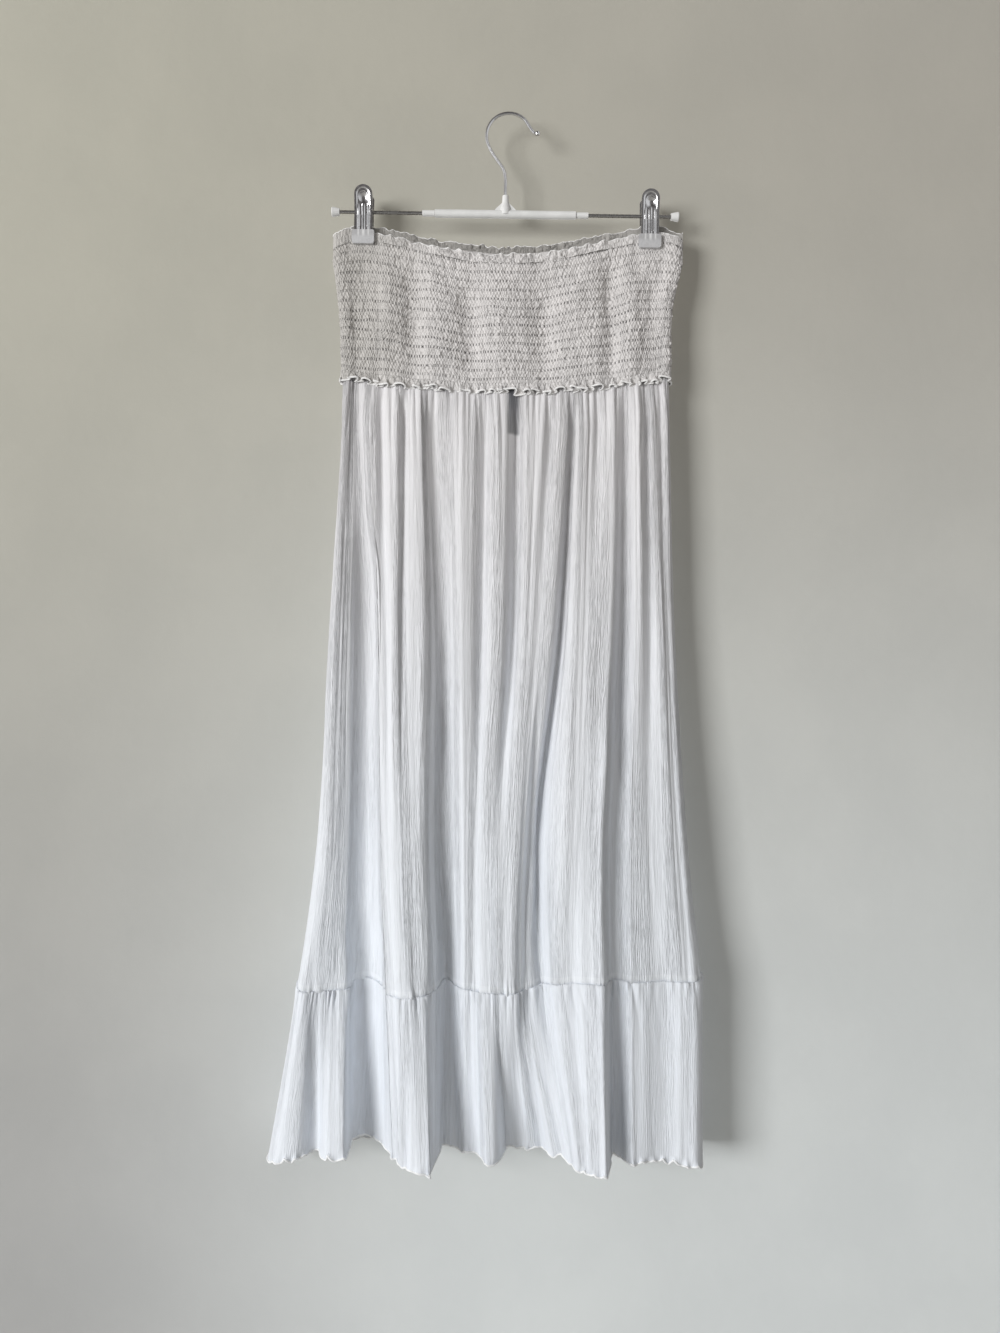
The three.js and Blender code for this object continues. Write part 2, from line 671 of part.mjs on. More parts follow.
// The centre tube with its two blind sockets, the hub cone and the hub's side gussets.
function hangerBar() {
  const { tube, half, bore, socket } = bar;
  const profile = [
    [0, half - socket], [bore, half - socket], [bore, half], [tube, half],
    [tube, -half], [bore, -half], [bore, socket - half], [0, socket - half],
  ];
  const body = solid(tubeAlongX(profile.reverse(), 24));
  const cone = new THREE.LatheGeometry(
    [
      new THREE.Vector2(0, hub.foot),
      new THREE.Vector2(hub.base, hub.foot),
      new THREE.Vector2(hub.base, hub.shoulder),
      new THREE.Vector2(hub.waist, hub.neck),
      new THREE.Vector2(hub.top, hub.height),
      new THREE.Vector2(0, hub.height),
    ],
    24,
  ).rotateX(Math.PI / 2);
  const web = new THREE.Shape();
  web.moveTo(-gusset.reach, 0);
  web.lineTo(gusset.reach, 0);
  web.lineTo(gusset.reach, tube + gusset.toe);
  web.lineTo(hub.top, gusset.height);
  web.lineTo(-hub.top, gusset.height);
  web.lineTo(-gusset.reach, tube + gusset.toe);
  const webs = new THREE.ExtrudeGeometry(web, { depth: gusset.thick, bevelEnabled: false })
    .translate(0, 0, -gusset.thick / 2)
    .rotateX(Math.PI / 2);
  const bored = new THREE.CylinderGeometry(hub.bore, hub.bore, hub.depth * 2, 20)
    .rotateX(Math.PI / 2)
    .translate(0, 0, hub.height);
  return geometryOf(body.add(solid(cone)).add(solid(webs)).subtract(solid(bored)));
}

function ringAlongX(inner, outer, from, to, segments) {
  const profile = [[inner, from], [outer, from], [outer, to], [inner, to], [inner, from]];
  return tubeAlongX(profile, segments);
}

// An end cap that flares out from the rod, with a blind bore for the rod's end.
function endCap() {
  const profile = [
    [0, cap.length], [cap.outer - cap.rim[0], cap.length], [cap.outer, cap.length - cap.rim[1]],
    [cap.inner, 0], [cap.bore, 0], [cap.bore, cap.depth], [0, cap.depth],
  ];
  return tubeAlongX(profile.reverse(), 20);
}

// Takes a shape drawn in the yz plane and extruded along z to one extruded along x.
function acrossX(geometry, from) {
  return geometry.applyMatrix4(
    new THREE.Matrix4().set(0, 0, 1, from, 1, 0, 0, 0, 0, 1, 0, 0, 0, 0, 0, 1),
  );
}

// A band between the plate's inner face and the same line moved by thick towards +Y.
function leanBand(line, thick, width, from) {
  const other = line.map(([y, z]) => [y + thick, z]).reverse();
  const points = [...line, ...other].map(([y, z]) => new THREE.Vector2(y, z));
  const ordered = thick < 0 ? points : points.reverse();
  const band = new THREE.ExtrudeGeometry(new THREE.Shape(ordered), { depth: width, bevelEnabled: false });
  return acrossX(band, from);
}

// The plate's inner face between two heights.
function leanBetween(top, foot) {
  const at = (z) => {
    const k = clip.lean.findIndex((point, i) => i > 0 && z >= point[1]);
    const [above, below] = [clip.lean[k - 1], clip.lean[k]];
    return [lerp(below[0], above[0], (z - below[1]) / (above[1] - below[1])), z];
  };
  return [at(top), ...clip.lean.filter(([, z]) => z < top && z > foot), at(foot)];
}

// One spring-clip plate: sheet metal leaning out at the top, its long edges turned back, an oval
// thumb dimple, two pressed ribs, two ears round the rod and a tongue that reaches into the grip
// pad. It faces -Y.
function clipPlate(earAt) {
  const half = clip.width / 2;
  const tongueEnd = clip.lean[clip.lean.length - 1][1];
  let plate = solid(leanBand(clip.lean, -clip.sheet, clip.width, -half));
  const front = new THREE.Shape();
  front.moveTo(-clip.tongue / 2, tongueEnd);
  front.lineTo(clip.tongue / 2, tongueEnd);
  front.lineTo(clip.tongue / 2, clip.foot);
  front.lineTo(half, clip.foot);
  front.lineTo(half, clip.top - clip.crown);
  front.absellipse(0, clip.top - clip.crown, half, clip.crown, 0, Math.PI, false);
  front.lineTo(-half, clip.foot);
  front.lineTo(-clip.tongue / 2, clip.foot);
  const silhouette = new THREE.ExtrudeGeometry(front, {
    depth: 20,
    curveSegments: 9,
    bevelEnabled: false,
  })
    .rotateX(Math.PI / 2)
    .translate(0, 2, 0);
  plate = plate.intersect(solid(silhouette));
  const [upper, lower] = leanBetween(dimple.z + 1, dimple.z);
  const slant = Math.atan2(lower[0] - upper[0], upper[1] - lower[1]);
  const hollow = new THREE.SphereGeometry(1, 16, 10)
    .scale(dimple.wide, dimple.deep, dimple.high)
    .rotateX(slant)
    .translate(0, lower[0] - clip.sheet, dimple.z);
  plate = plate.subtract(solid(hollow));
  const { depth, top, foot } = clip.turned;
  for (const from of [-half, half - clip.sheet]) {
    const overlap = clip.sheet / 2;
    const line = leanBetween(top, foot).map(([y, z]) => [y - overlap, z]);
    plate = plate.add(solid(leanBand(line, depth + overlap, clip.sheet, from)));
  }
  for (const x of [-rib.x, rib.x]) {
    const pressed = new THREE.CapsuleGeometry(rib.radius, rib.length, 2, 6)
      .rotateX(Math.PI / 2)
      .translate(x, rib.y, rib.z);
    plate = plate.add(solid(pressed));
  }
  for (const x of [-earAt, earAt]) {
    const lobe = new THREE.Shape();
    lobe.moveTo(ear.root, -ear.radius);
    lobe.lineTo(0, -ear.radius);
    lobe.absarc(0, 0, ear.radius, -Math.PI / 2, Math.PI / 2, false);
    lobe.lineTo(ear.root, ear.radius);
    const bore = new THREE.Path();
    bore.absarc(0, 0, ear.hole, 0, Math.PI * 2, true);
    lobe.holes.push(bore);
    const flange = new THREE.ExtrudeGeometry(lobe, {
      depth: ear.thick,
      curveSegments: 6,
      bevelEnabled: false,
    });
    plate = plate.add(solid(acrossX(flange, x - ear.thick / 2)));
  }
  return geometryOf(plate);
}

// The plastic pad at the foot of a plate, with the socket that its tongue sits in.
function gripPad() {
  const half = pad.width / 2;
  const r = pad.round;
  const shape = new THREE.Shape();
  shape.moveTo(-half + r, -pad.height);
  shape.lineTo(half - r, -pad.height);
  shape.absarc(half - r, -pad.height + r, r, -Math.PI / 2, 0, false);
  shape.lineTo(half, -pad.chamfer);
  shape.lineTo(half - pad.chamfer, 0);
  shape.lineTo(-half + pad.chamfer, 0);
  shape.lineTo(-half, -pad.chamfer);
  shape.absarc(-half + r, -pad.height + r, r, Math.PI, Math.PI * 1.5, false);
  const block = new THREE.ExtrudeGeometry(shape, {
    depth: pad.thick,
    curveSegments: 5,
    bevelEnabled: false,
  })
    .rotateX(Math.PI / 2)
    .translate(0, -(clipOut + seamGap), pad.top);
  const { wide, thick, high, y, foot } = pad.slot;
  const slot = new THREE.BoxGeometry(wide, thick, high).translate(0, y, foot + high / 2);
  return geometryOf(solid(block).subtract(solid(slot)));
}

// The spring round the rod, as one ridged sleeve.
function springSleeve() {
  const { inner, outer, groove, half, coils } = spring;
  const profile = [[inner, -half]];
  const pitch = (2 * half) / coils;
  const [early, late] = spring.crest;
  for (let i = 0; i < coils; i += 1) {
    const x = -half + pitch * i;
    profile.push([outer - groove, x], [outer, x + pitch * early], [outer, x + pitch * late]);
  }
  profile.push([outer - groove, half], [inner, half], [inner, -half]);
  return tubeAlongX(profile, 12);
}

const hanger = new THREE.Group();
hanger.position.set(hook.x, 0, bar.z);
hanger.rotation.y = THREE.MathUtils.degToRad(bar.tilt);
hanger.add(mesh("hanger_bar", hangerBar(), looks.plastic));

for (const [name, sign] of [["left", -1], ["right", 1]]) {
  const along = (from, to) => (sign > 0 ? [from, to] : [-to, -from]);
  const inTube = bar.half - rod.reach;
  const bare = new THREE.CylinderGeometry(rod.radius, rod.radius, rod.out - inTube, 16)
    .rotateZ(Math.PI / 2)
    .translate((sign * (rod.out + inTube)) / 2, 0, 0);
  const [from, to] = along(bar.half + seamGap, bar.half + seamGap + sleeve.length);
  const collar = ringAlongX(sleeve.inner, sleeve.outer, from, to, 20);
  const end = mesh("end_cap_" + name, endCap(), looks.plastic);
  end.position.x = sign * (rod.out - cap.depth + seamGap);
  if (sign < 0) end.rotation.z = Math.PI;
  hanger.add(mesh("rod_" + name, bare, looks.steel));
  hanger.add(mesh("sleeve_" + name, collar, looks.plastic));
  hanger.add(end);

  const grip = new THREE.Group();
  grip.position.x = clipAt[sign < 0 ? 0 : 1];
  const faces = [["front", 0, ear.front], ["back", Math.PI, ear.back]];
  for (const [face, turned, earAt] of faces) {
    const plate = mesh(`clip_${name}_${face}_plate`, clipPlate(earAt), looks.chrome);
    const tip = mesh(`clip_${name}_${face}_pad`, gripPad(), looks.plastic);
    plate.rotation.z = turned;
    tip.rotation.z = turned;
    grip.add(plate, tip);
  }
  grip.add(mesh(`clip_${name}_spring`, springSleeve(), looks.steel));
  hanger.add(grip);
}
const wire = mesh("hook_wire", hookWire(), looks.chrome);
group.add(hanger, wire);

export default group;
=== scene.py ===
import math

import bpy
import numpy as np
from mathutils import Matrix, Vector


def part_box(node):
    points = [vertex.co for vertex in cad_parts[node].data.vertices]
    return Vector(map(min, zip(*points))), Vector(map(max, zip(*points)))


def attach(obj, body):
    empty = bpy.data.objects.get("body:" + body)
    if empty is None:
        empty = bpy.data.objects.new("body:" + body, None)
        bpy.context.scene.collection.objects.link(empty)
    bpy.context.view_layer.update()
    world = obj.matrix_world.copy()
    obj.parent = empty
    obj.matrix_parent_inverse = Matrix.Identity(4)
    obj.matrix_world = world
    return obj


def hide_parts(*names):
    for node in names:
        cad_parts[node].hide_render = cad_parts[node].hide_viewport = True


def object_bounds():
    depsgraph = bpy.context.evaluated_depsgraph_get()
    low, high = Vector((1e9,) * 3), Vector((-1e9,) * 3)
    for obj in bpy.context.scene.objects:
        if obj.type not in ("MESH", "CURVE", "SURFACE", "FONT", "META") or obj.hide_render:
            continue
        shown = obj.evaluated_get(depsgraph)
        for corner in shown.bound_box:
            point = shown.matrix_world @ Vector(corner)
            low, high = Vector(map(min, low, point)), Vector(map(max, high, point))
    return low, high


# A crinkle-cotton maxi skirt on a clip hanger: the cloth as fine shells on the CAD's own
# folds, the hanger's finishes, a pale wall and floor, and soft light from the left.

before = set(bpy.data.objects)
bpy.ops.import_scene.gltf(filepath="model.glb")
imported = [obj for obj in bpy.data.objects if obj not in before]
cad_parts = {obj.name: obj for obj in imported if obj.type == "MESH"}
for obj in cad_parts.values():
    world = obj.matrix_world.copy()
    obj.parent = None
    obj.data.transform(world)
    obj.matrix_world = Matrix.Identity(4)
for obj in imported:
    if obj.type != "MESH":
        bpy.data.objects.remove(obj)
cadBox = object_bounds()
mm = 0.001

bpy.ops.object.select_all(action="DESELECT")
scene = bpy.context.scene
scene.view_settings.view_transform = "Standard"

# Camera

cameraSet = dict(lens=27.0, place=(-0.0086, -0.950, -0.524))
cameraData = bpy.data.cameras.new("camera")
cameraData.lens = cameraSet["lens"]
camera = bpy.data.objects.new("camera", cameraData)
camera.location = cameraSet["place"]
camera.rotation_euler = (math.radians(90), 0, 0)
scene.collection.objects.link(camera)
scene.camera = camera


# Node helpers

def fill(tree, node, inputs):  # each named socket gets a link or a fixed value
    for key, value in inputs.items():
        if isinstance(value, bpy.types.NodeSocket):
            tree.links.new(value, node.inputs[key])
        else:
            node.inputs[key].default_value = value


def addNode(tree, kind, inputs=None, **settings):
    node = tree.nodes.new(kind)
    for key, value in settings.items():
        setattr(node, key, value)
    fill(tree, node, inputs or {})
    return node


def mathNode(tree, operation, *values, clamp=False):
    inputs = dict(enumerate(values))
    return addNode(tree, "ShaderNodeMath", inputs, operation=operation, use_clamp=clamp).outputs[0]


def plus(tree, a, b):
    return mathNode(tree, "ADD", a, b)


def minus(tree, a, b):
    return mathNode(tree, "SUBTRACT", a, b)


def times(tree, value, *factors):
    for factor in factors:
        value = mathNode(tree, "MULTIPLY", value, factor)
    return value


def gapBetween(tree, a, b):
    return mathNode(tree, "ABSOLUTE", minus(tree, a, b))


def distanceNode(tree, across, down):
    squares = [mathNode(tree, "POWER", mathNode(tree, "ABSOLUTE", way), 2.0) for way in (across, down)]
    return mathNode(tree, "SQRT", plus(tree, *squares))


def rangeNode(tree, value, lowIn, highIn, lowOut=0.0, highOut=1.0, kind="SMOOTHSTEP"):
    inputs = {"Value": value, "From Min": lowIn, "From Max": highIn, "To Min": lowOut, "To Max": highOut}
    return addNode(tree, "ShaderNodeMapRange", inputs, interpolation_type=kind).outputs["Result"]


def mixColour(tree, factor, a, b, blend="MIX"):
    inputs = {0: factor, 6: a, 7: b}
    return addNode(tree, "ShaderNodeMix", inputs, data_type="RGBA", blend_type=blend).outputs[2]


def noiseNode(tree, place, scale, detail):
    inputs = {"Vector": place, "Scale": scale, "Detail": detail}
    return addNode(tree, "ShaderNodeTexNoise", inputs).outputs["Fac"]


def bumpNode(tree, height, strength, distance, **under):  # under: the Normal it is laid over
    inputs = {"Height": height, "Strength": strength, "Distance": distance, **under}
    return addNode(tree, "ShaderNodeBump", inputs).outputs[0]


def objectPlace(tree):
    return addNode(tree, "ShaderNodeTexCoord").outputs["Object"]


def clothPlace(tree):
    return addNode(tree, "ShaderNodeUVMap", uv_map="cloth").outputs[0]


def axesOf(tree, place):
    return addNode(tree, "ShaderNodeSeparateXYZ", {"Vector": place}).outputs


def pointValue(tree, name):
    return addNode(tree, "ShaderNodeAttribute", attribute_name=name).outputs["Fac"]


def newGroup(name, inputs, outputs, outKind="Float"):  # an input without a value is a vector
    group = bpy.data.node_groups.new(name, "ShaderNodeTree")
    for label, value in inputs.items():
        kind = "Vector" if value is None else "Color" if isinstance(value, tuple) else "Float"
        socket = group.interface.new_socket(name=label, in_out="INPUT", socket_type=f"NodeSocket{kind}")
        if value is not None:
            socket.default_value = value
    for label in outputs:
        group.interface.new_socket(name=label, in_out="OUTPUT", socket_type=f"NodeSocket{outKind}")
    return group, group.nodes.new("NodeGroupInput").outputs, group.nodes.new("NodeGroupOutput")


def useGroup(tree, group, **inputs):
    return addNode(tree, "ShaderNodeGroup", inputs, node_tree=group).outputs


def newMaterial(name):
    material = bpy.data.materials.new(name)
    material.use_nodes = True
    return material, material.node_tree, material.node_tree.nodes["Principled BSDF"]


# Shared effects

# The crinkle's streaks are painted light along its ridge lines, and its grooves painted shade.
# hairs are thin ridges and swells are round ones: scale, detail and share of each
crinkleSet = dict(
    bend=55.0, hairs=((1.0, 1.0, 0.5), (2.3, 2.0, 0.3)), thinness=9.0,
    swells=((0.45, 1.0, 0.9), (1.4, 2.0, 1.1)), groove=(0.46, 0.30), ridgeLightSpan=(0.35, 0.6),
    patches=0.11, lively=(0.42, 0.58, 0.30, 1.0),
)


# Height is a bump; the other outputs mask painted light on ridge lines and painted shade in grooves.
def crinkleGroup():  # long fine creases along the cloth, as crepe gauze has
    group, given, end = newGroup(
        "crinkle",
        {"Place": None, "Pitch": 0.004, "Length": 0.05, "Wander": 0.0020},
        ("Height", "RidgeLight", "GrooveShade"),
    )
    apart = axesOf(group, given["Place"])
    bend = minus(group, noiseNode(group, given["Place"], crinkleSet["bend"], 2.0), 0.5)
    side = times(group, bend, given["Wander"])
    across = mathNode(group, "DIVIDE", plus(group, apart["X"], side), given["Pitch"])
    along = mathNode(group, "DIVIDE", apart["Y"], given["Length"])
    place = addNode(group, "ShaderNodeCombineXYZ", {"X": across, "Y": along}).outputs[0]
    hairs = []
    for scale, detail, share in crinkleSet["hairs"]:
        away = gapBetween(group, noiseNode(group, place, scale, detail), 0.5)
        hair = mathNode(group, "SUBTRACT", 1.0, times(group, away, crinkleSet["thinness"]), clamp=True)
        hairs.append(times(group, hair, share))
    (wideScale, wideDetail, wideShare), (softScale, softDetail, softShare) = crinkleSet["swells"]
    wide = noiseNode(group, place, wideScale, wideDetail)
    soft = noiseNode(group, place, softScale, softDetail)
    both = plus(group, *hairs)
    base = plus(group, times(group, wide, wideShare), times(group, soft, softShare))
    drawn = noiseNode(group, place, crinkleSet["patches"], 1.0)
    lively = rangeNode(group, drawn, *crinkleSet["lively"])
    fill(group, end, {
        "Height": times(group, plus(group, both, base), lively),
        "RidgeLight": times(group, both, rangeNode(group, wide, *crinkleSet["ridgeLightSpan"])),
        "GrooveShade": times(group, rangeNode(group, soft, *crinkleSet["groove"]), lively),
    })
    return group


def weaveGroup():  # plain weave: even threads that cross
    group, given, end = newGroup("plainWeave", {"Place": None, "Thread": 0.00045}, ("Height",))
    apart = axesOf(group, given["Place"])
    turn = mathNode(group, "DIVIDE", math.pi, given["Thread"])
    threads = []
    for axis in ("X", "Y"):
        wave = mathNode(group, "SINE", times(group, apart[axis], turn))
        threads.append(mathNode(group, "ABSOLUTE", wave))
    fill(group, end, {"Height": times(group, *threads)})
    return group


def softBoxGroup():  # 1 inside an upright box on the cloth, with soft edges
    group, given, end = newGroup(
        "softBox",
        {"Place": None, "Middle X": 0.0, "Middle Z": 0.0, "Half Width": 0.006, "Half Height": 0.02,
         "Edge": 0.003},
        ("Mask",),
    )
    apart = axesOf(group, given["Place"])
    sides = []
    for axis, half in (("X", given["Half Width"]), ("Z", given["Half Height"])):
        away = gapBetween(group, apart[axis], given[f"Middle {axis}"])
        inner, outer = minus(group, half, given["Edge"]), plus(group, half, given["Edge"])
        sides.append(rangeNode(group, away, inner, outer, 1.0, 0.0))
    fill(group, end, {"Mask": times(group, *sides)})
    return group


def grainGroup():  # a faint mottle for moulded plastic, metal and plaster
    group, given, end = newGroup(
        "grain", {"Place": None, "Scale": 400.0, "Low": 0.3, "High": 0.45}, ("Value", "Height"),
    )
    noise = noiseNode(group, given["Place"], given["Scale"], 4.0)
    mottle = rangeNode(group, noise, 0.3, 0.7, given["Low"], given["High"])
    fill(group, end, {"Value": mottle, "Height": noise})
    return group


# first and last line of elastic as a share of the yoke's height; pitch of the stitches, puff and
# crumb in millimetres; slant: how far the crumbs lean from row to row
# hole, gap and dark: painted shade in the needle holes and between the crumbs, made patchy by pulled
shirring = dict(
    lines=14, first=0.012, last=0.955, pitch=2.8, puff=1.0, crumb=0.50, slant=1.5, bump=0.00045,
    lineEdge=(0.17, 0.06), holeEdge=(0.46, 0.10), gapEdge=(0.34, 0.0),
    hole=0.92, gap=0.13, dark=(0.10, 0.095, 0.098, 1),
    patches=38.0, pulled=(0.30, 0.62, 0.45, 1.0), pulledTop=(0.0, 8.0, 0.75, 1.0),
    # darker and warmer towards the yoke's left side
    leftDarkening=0.46, leftDarkeningSpan=(-0.050, -0.150), leftDarkeningTone=(0.46, 0.45, 0.40, 1),
)


# Hole and Gap mask painted shade; Height is a bump.
def shirringGroup():  # crumbs of cloth between the rows of elastic, a needle hole at each stitch
    group, given, end = newGroup("shirring", {"Row": 0.0, "Stitch": 0.0}, ("Height", "Hole", "Gap"))
    slant = times(group, given["Row"], shirring["slant"])
    waves = []
    for way in (plus, minus):
        turn = times(group, way(group, given["Stitch"], slant), math.pi)
        waves.append(mathNode(group, "SINE", turn))
    cell = mathNode(group, "ABSOLUTE", times(group, *waves))
    toLine = gapBetween(group, given["Row"], mathNode(group, "ROUND", given["Row"]))
    near = rangeNode(group, toLine, *shirring["lineEdge"])
    fill(group, end, {
        "Hole": times(group, near, rangeNode(group, cell, *shirring["holeEdge"])),
        "Gap": rangeNode(group, cell, *shirring["gapEdge"]),
        "Height": minus(group, mathNode(group, "SQRT", cell), near),
    })
    return group


pressSet = dict(
    depth=0.0009, halfWidth=0.0085, rim=(0.58, 0.78), aside=0.0006, down=0.0035, hollow=(0.0055, 0.0010),
    ribPitch=0.0052, ribStart=(0.0050, 0.0150), ribEnd=(0.72, 0.55), lit=(0.80, 0.80, 0.80, 1),
    dim=(0.30, 0.29, 0.29, 1), dimmed=0.35, shown=0.7, cover=(-0.001, 0.0035),
    rimHeight=0.55, ribHeight=0.8, hollowDepth=0.9,
)


def pressedPlateGroup():  # a clip plate's pressed outline, thumb hollow and ribs
    group, given, end = newGroup(
        "pressedPlate",
        {"Place": None, "Middle X": 0.0, "Crown Z": 0.0, "Half Width": 0.0085},
        ("Height", "Rib"),
    )
    apart = axesOf(group, given["Place"])
    across = minus(group, apart["X"], given["Middle X"])
    centre = minus(group, given["Crown Z"], given["Half Width"])
    above = mathNode(group, "MAXIMUM", minus(group, apart["Z"], centre), 0.0)
    share = mathNode(group, "DIVIDE", distanceNode(group, across, above), given["Half Width"])
    rim = rangeNode(group, share, *pressSet["rim"])
    down = minus(group, centre, apart["Z"])
    slide = minus(group, across, pressSet["aside"])
    away = distanceNode(group, slide, minus(group, down, pressSet["down"]))
    hollow = rangeNode(group, away, *pressSet["hollow"])
    wave = mathNode(group, "COSINE", times(group, across, 2 * math.pi / pressSet["ribPitch"]))
    rib = times(group, rangeNode(group, wave, -0.6, 0.9), rangeNode(group, down, *pressSet["ribStart"]))
    rib = times(group, rib, rangeNode(group, share, *pressSet["ribEnd"]))
    raised = plus(group, times(group, rim, pressSet["rimHeight"]), times(group, rib, pressSet["ribHeight"]))
    height = minus(group, raised, times(group, hollow, pressSet["hollowDepth"]))
    fill(group, end, {"Height": height, "Rib": rib})
    return group


# Painted light: the cloth is dimmer and warmer towards the top, brighter and cooler at the hem.
tintSpan = (-0.15, -0.85)  # heights


def tintGroup():  # a little warmer and duller towards the top, cooler and whiter at the hem
    group, given, end = newGroup(
        "paintedLightByHeight",
        {"Place": None, "Top": (0.88, 0.858, 0.848, 1), "Foot": (0.928, 0.964, 1.0, 1)},
        ("Tint",),
        "Color",
    )
    downwards = rangeNode(group, axesOf(group, given["Place"])["Z"], *tintSpan)
    fill(group, end, {"Tint": mixColour(group, downwards, given["Top"], given["Foot"])})
    return group


crinkle, weave, softBox, grain = crinkleGroup(), weaveGroup(), softBoxGroup(), grainGroup()
paintedLightByHeight, shirringPattern, pressedPlate = tintGroup(), shirringGroup(), pressedPlateGroup()


# Stage

# Painted light in the wall's tones: dim low on the left, a bright pool low on the right.
stageSet = dict(
    wallDepth=0.0285, wallHalf=2.2, floorDepth=0.26, floorHalf=3.0,
    wallTopAndPaintedLight=((0.466, 0.452, 0.384, 1), (0.456, 0.437, 0.388, 1)),
    wallFootAndPaintedLight=((0.408, 0.408, 0.400, 1), (0.698, 0.728, 0.728, 1)),
    topSpan=(-0.55, 0.55), footSpan=(-0.52, 0.02), downSpan=(0.05, -1.15),
    floor=((0.60, 0.60, 0.58, 1), (0.60, 0.60, 0.58, 1)),
    mottle=(0.955, 0.957, 0.96, 1), mottleScale=9.0, roughScale=70.0, relief=0.002,
)


# On the wall the four tones differ, which paints light into its colour; the floor's are all one tone.
def plasterMaterial(name, top, foot, seeThrough):  # top and foot are each a left and a right tone
    material, tree, shader = newMaterial(name)
    place = objectPlace(tree)
    apart = axesOf(tree, place)
    top = mixColour(tree, rangeNode(tree, apart["X"], *stageSet["topSpan"]), *top)
    foot = mixColour(tree, rangeNode(tree, apart["X"], *stageSet["footSpan"]), *foot)
    base = mixColour(tree, rangeNode(tree, apart["Z"], *stageSet["downSpan"]), top, foot)
    mottle = useGroup(tree, grain, Place=place, Scale=stageSet["mottleScale"], Low=0.0, High=1.0)
    relief = useGroup(tree, grain, Place=place, Scale=stageSet["roughScale"], Low=0.0, High=1.0)
    fill(tree, shader, {
        "Base Color": mixColour(tree, mottle["Value"], base, stageSet["mottle"], "MULTIPLY"),
        "Roughness": 0.85, "Specular IOR Level": 0.2,
        "Normal": bumpNode(tree, relief["Height"], 0.15, stageSet["relief"]),
    })
    if seeThrough:  # clear from behind, so that the wall hides nothing
        clear = addNode(tree, "ShaderNodeBsdfTransparent")
        behind = addNode(tree, "ShaderNodeNewGeometry").outputs["Backfacing"]
        sides = {0: behind, 1: shader.outputs[0], 2: clear.outputs[0]}
        mix = addNode(tree, "ShaderNodeMixShader", sides)
        fill(tree, tree.nodes["Material Output"], {"Surface": mix.outputs[0]})
    return material


def stagePlane(name, corners, material):
    mesh = bpy.data.meshes.new(name)
    mesh.from_pydata(corners, [], [(0, 1, 2, 3)])
    mesh.materials.append(material)
    plane = bpy.data.objects.new(name, mesh)
    scene.collection.objects.link(plane)
    return plane


wallY, half = stageSet["wallDepth"], stageSet["wallHalf"]
floorZ = cadBox[0].z - stageSet["floorDepth"]
wall = stagePlane(
    "wall",
    [(-half, wallY, floorZ), (half, wallY, floorZ), (half, wallY, half), (-half, wallY, half)],
    plasterMaterial("wallToneAndPaintedLight", stageSet["wallTopAndPaintedLight"], stageSet["wallFootAndPaintedLight"], True),
)
wall.visible_shadow = False
wall.visible_diffuse = False
reach = stageSet["floorHalf"]
stagePlane(
    "floor",
    [(-reach, -reach, floorZ), (reach, -reach, floorZ), (reach, reach, floorZ), (-reach, reach, floorZ)],
    plasterMaterial("floorPaint", stageSet["floor"], stageSet["floor"], False),
)

lightSet = [
    dict(
        name="window", place=(-4.20, -4.50, 0.02), aim=(0.0, 0.0, -0.50), size=2.3, power=285,
        tint=(0.988, 0.994, 1.0),
    ),
    dict(
        name="backFill", place=(0.0, 2.4, 0.0), aim=(0.0, 0.0, -0.55), size=1.6, power=30,
        tint=(1.0, 1.0, 1.0),
    ),
]
for lamp in lightSet:
    data = bpy.data.lights.new(lamp["name"], "AREA")
    data.size, data.energy, data.color = lamp["size"], lamp["power"], lamp["tint"]
    light = bpy.data.objects.new(lamp["name"], data)
    light.location = lamp["place"]
    aim = Vector(lamp["aim"]) - Vector(lamp["place"])
    light.rotation_euler = aim.to_track_quat("-Z", "Y").to_euler()
    scene.collection.objects.link(light)

# bright to the left and dim to the right, as the cloth sees it; the metal sees panes at both
# sides and a darker room behind the camera
roomSet = dict(
    bright=(1.0, 0.970, 0.935, 1), dim=(0.650, 0.630, 0.605, 1), turn=(-0.7, 0.6), strength=0.46,
    behindCamera=(0.20, 0.187, 0.184, 1), panes=(1.75, 1.78, 1.82, 1), middle=-0.15, paneEdge=(0.20, 0.72),
)
world = bpy.data.worlds.new("room")
world.use_nodes = True
sky = world.node_tree
towards = addNode(sky, "ShaderNodeTexCoord").outputs["Generated"]
sideways = axesOf(sky, towards)["X"]
roomTone = mixColour(sky, rangeNode(sky, sideways, *roomSet["turn"]), roomSet["bright"], roomSet["dim"])
aside = rangeNode(sky, gapBetween(sky, sideways, roomSet["middle"]), *roomSet["paneEdge"])
seen = mixColour(sky, aside, roomSet["behindCamera"], roomSet["panes"])
glossy = addNode(sky, "ShaderNodeLightPath").outputs["Is Glossy Ray"]
fill(sky, sky.nodes["Background"], {
    "Color": mixColour(sky, glossy, roomTone, seen), "Strength": roomSet["strength"],
})
scene.world = world
print("camera, stage and lights")

# The cloth's folds, millimetres, as the solids have them

foldLevels = (300, 499, 690, 821, 976)  # waist, thigh, knee, flounce seam, hem
waistLevel, seamLevel, hemLevel = foldLevels[0], foldLevels[3], foldLevels[4]
yokeLevels = (138, 190, 252)
yokeTopLevel = 122  # the level that stands for the yoke's top edge
clipOut = 3.4  # how far out the cloth is under a clip
seamOut = 0.15  # and at the side seams
frillHeight = 9
jointDepth = 40  # how far below the joint the body has come out to its folds
# the body's top: its share of the joint's width, and how far it is behind the yoke
jointTuck, behindFrill = 0.992, 1.9
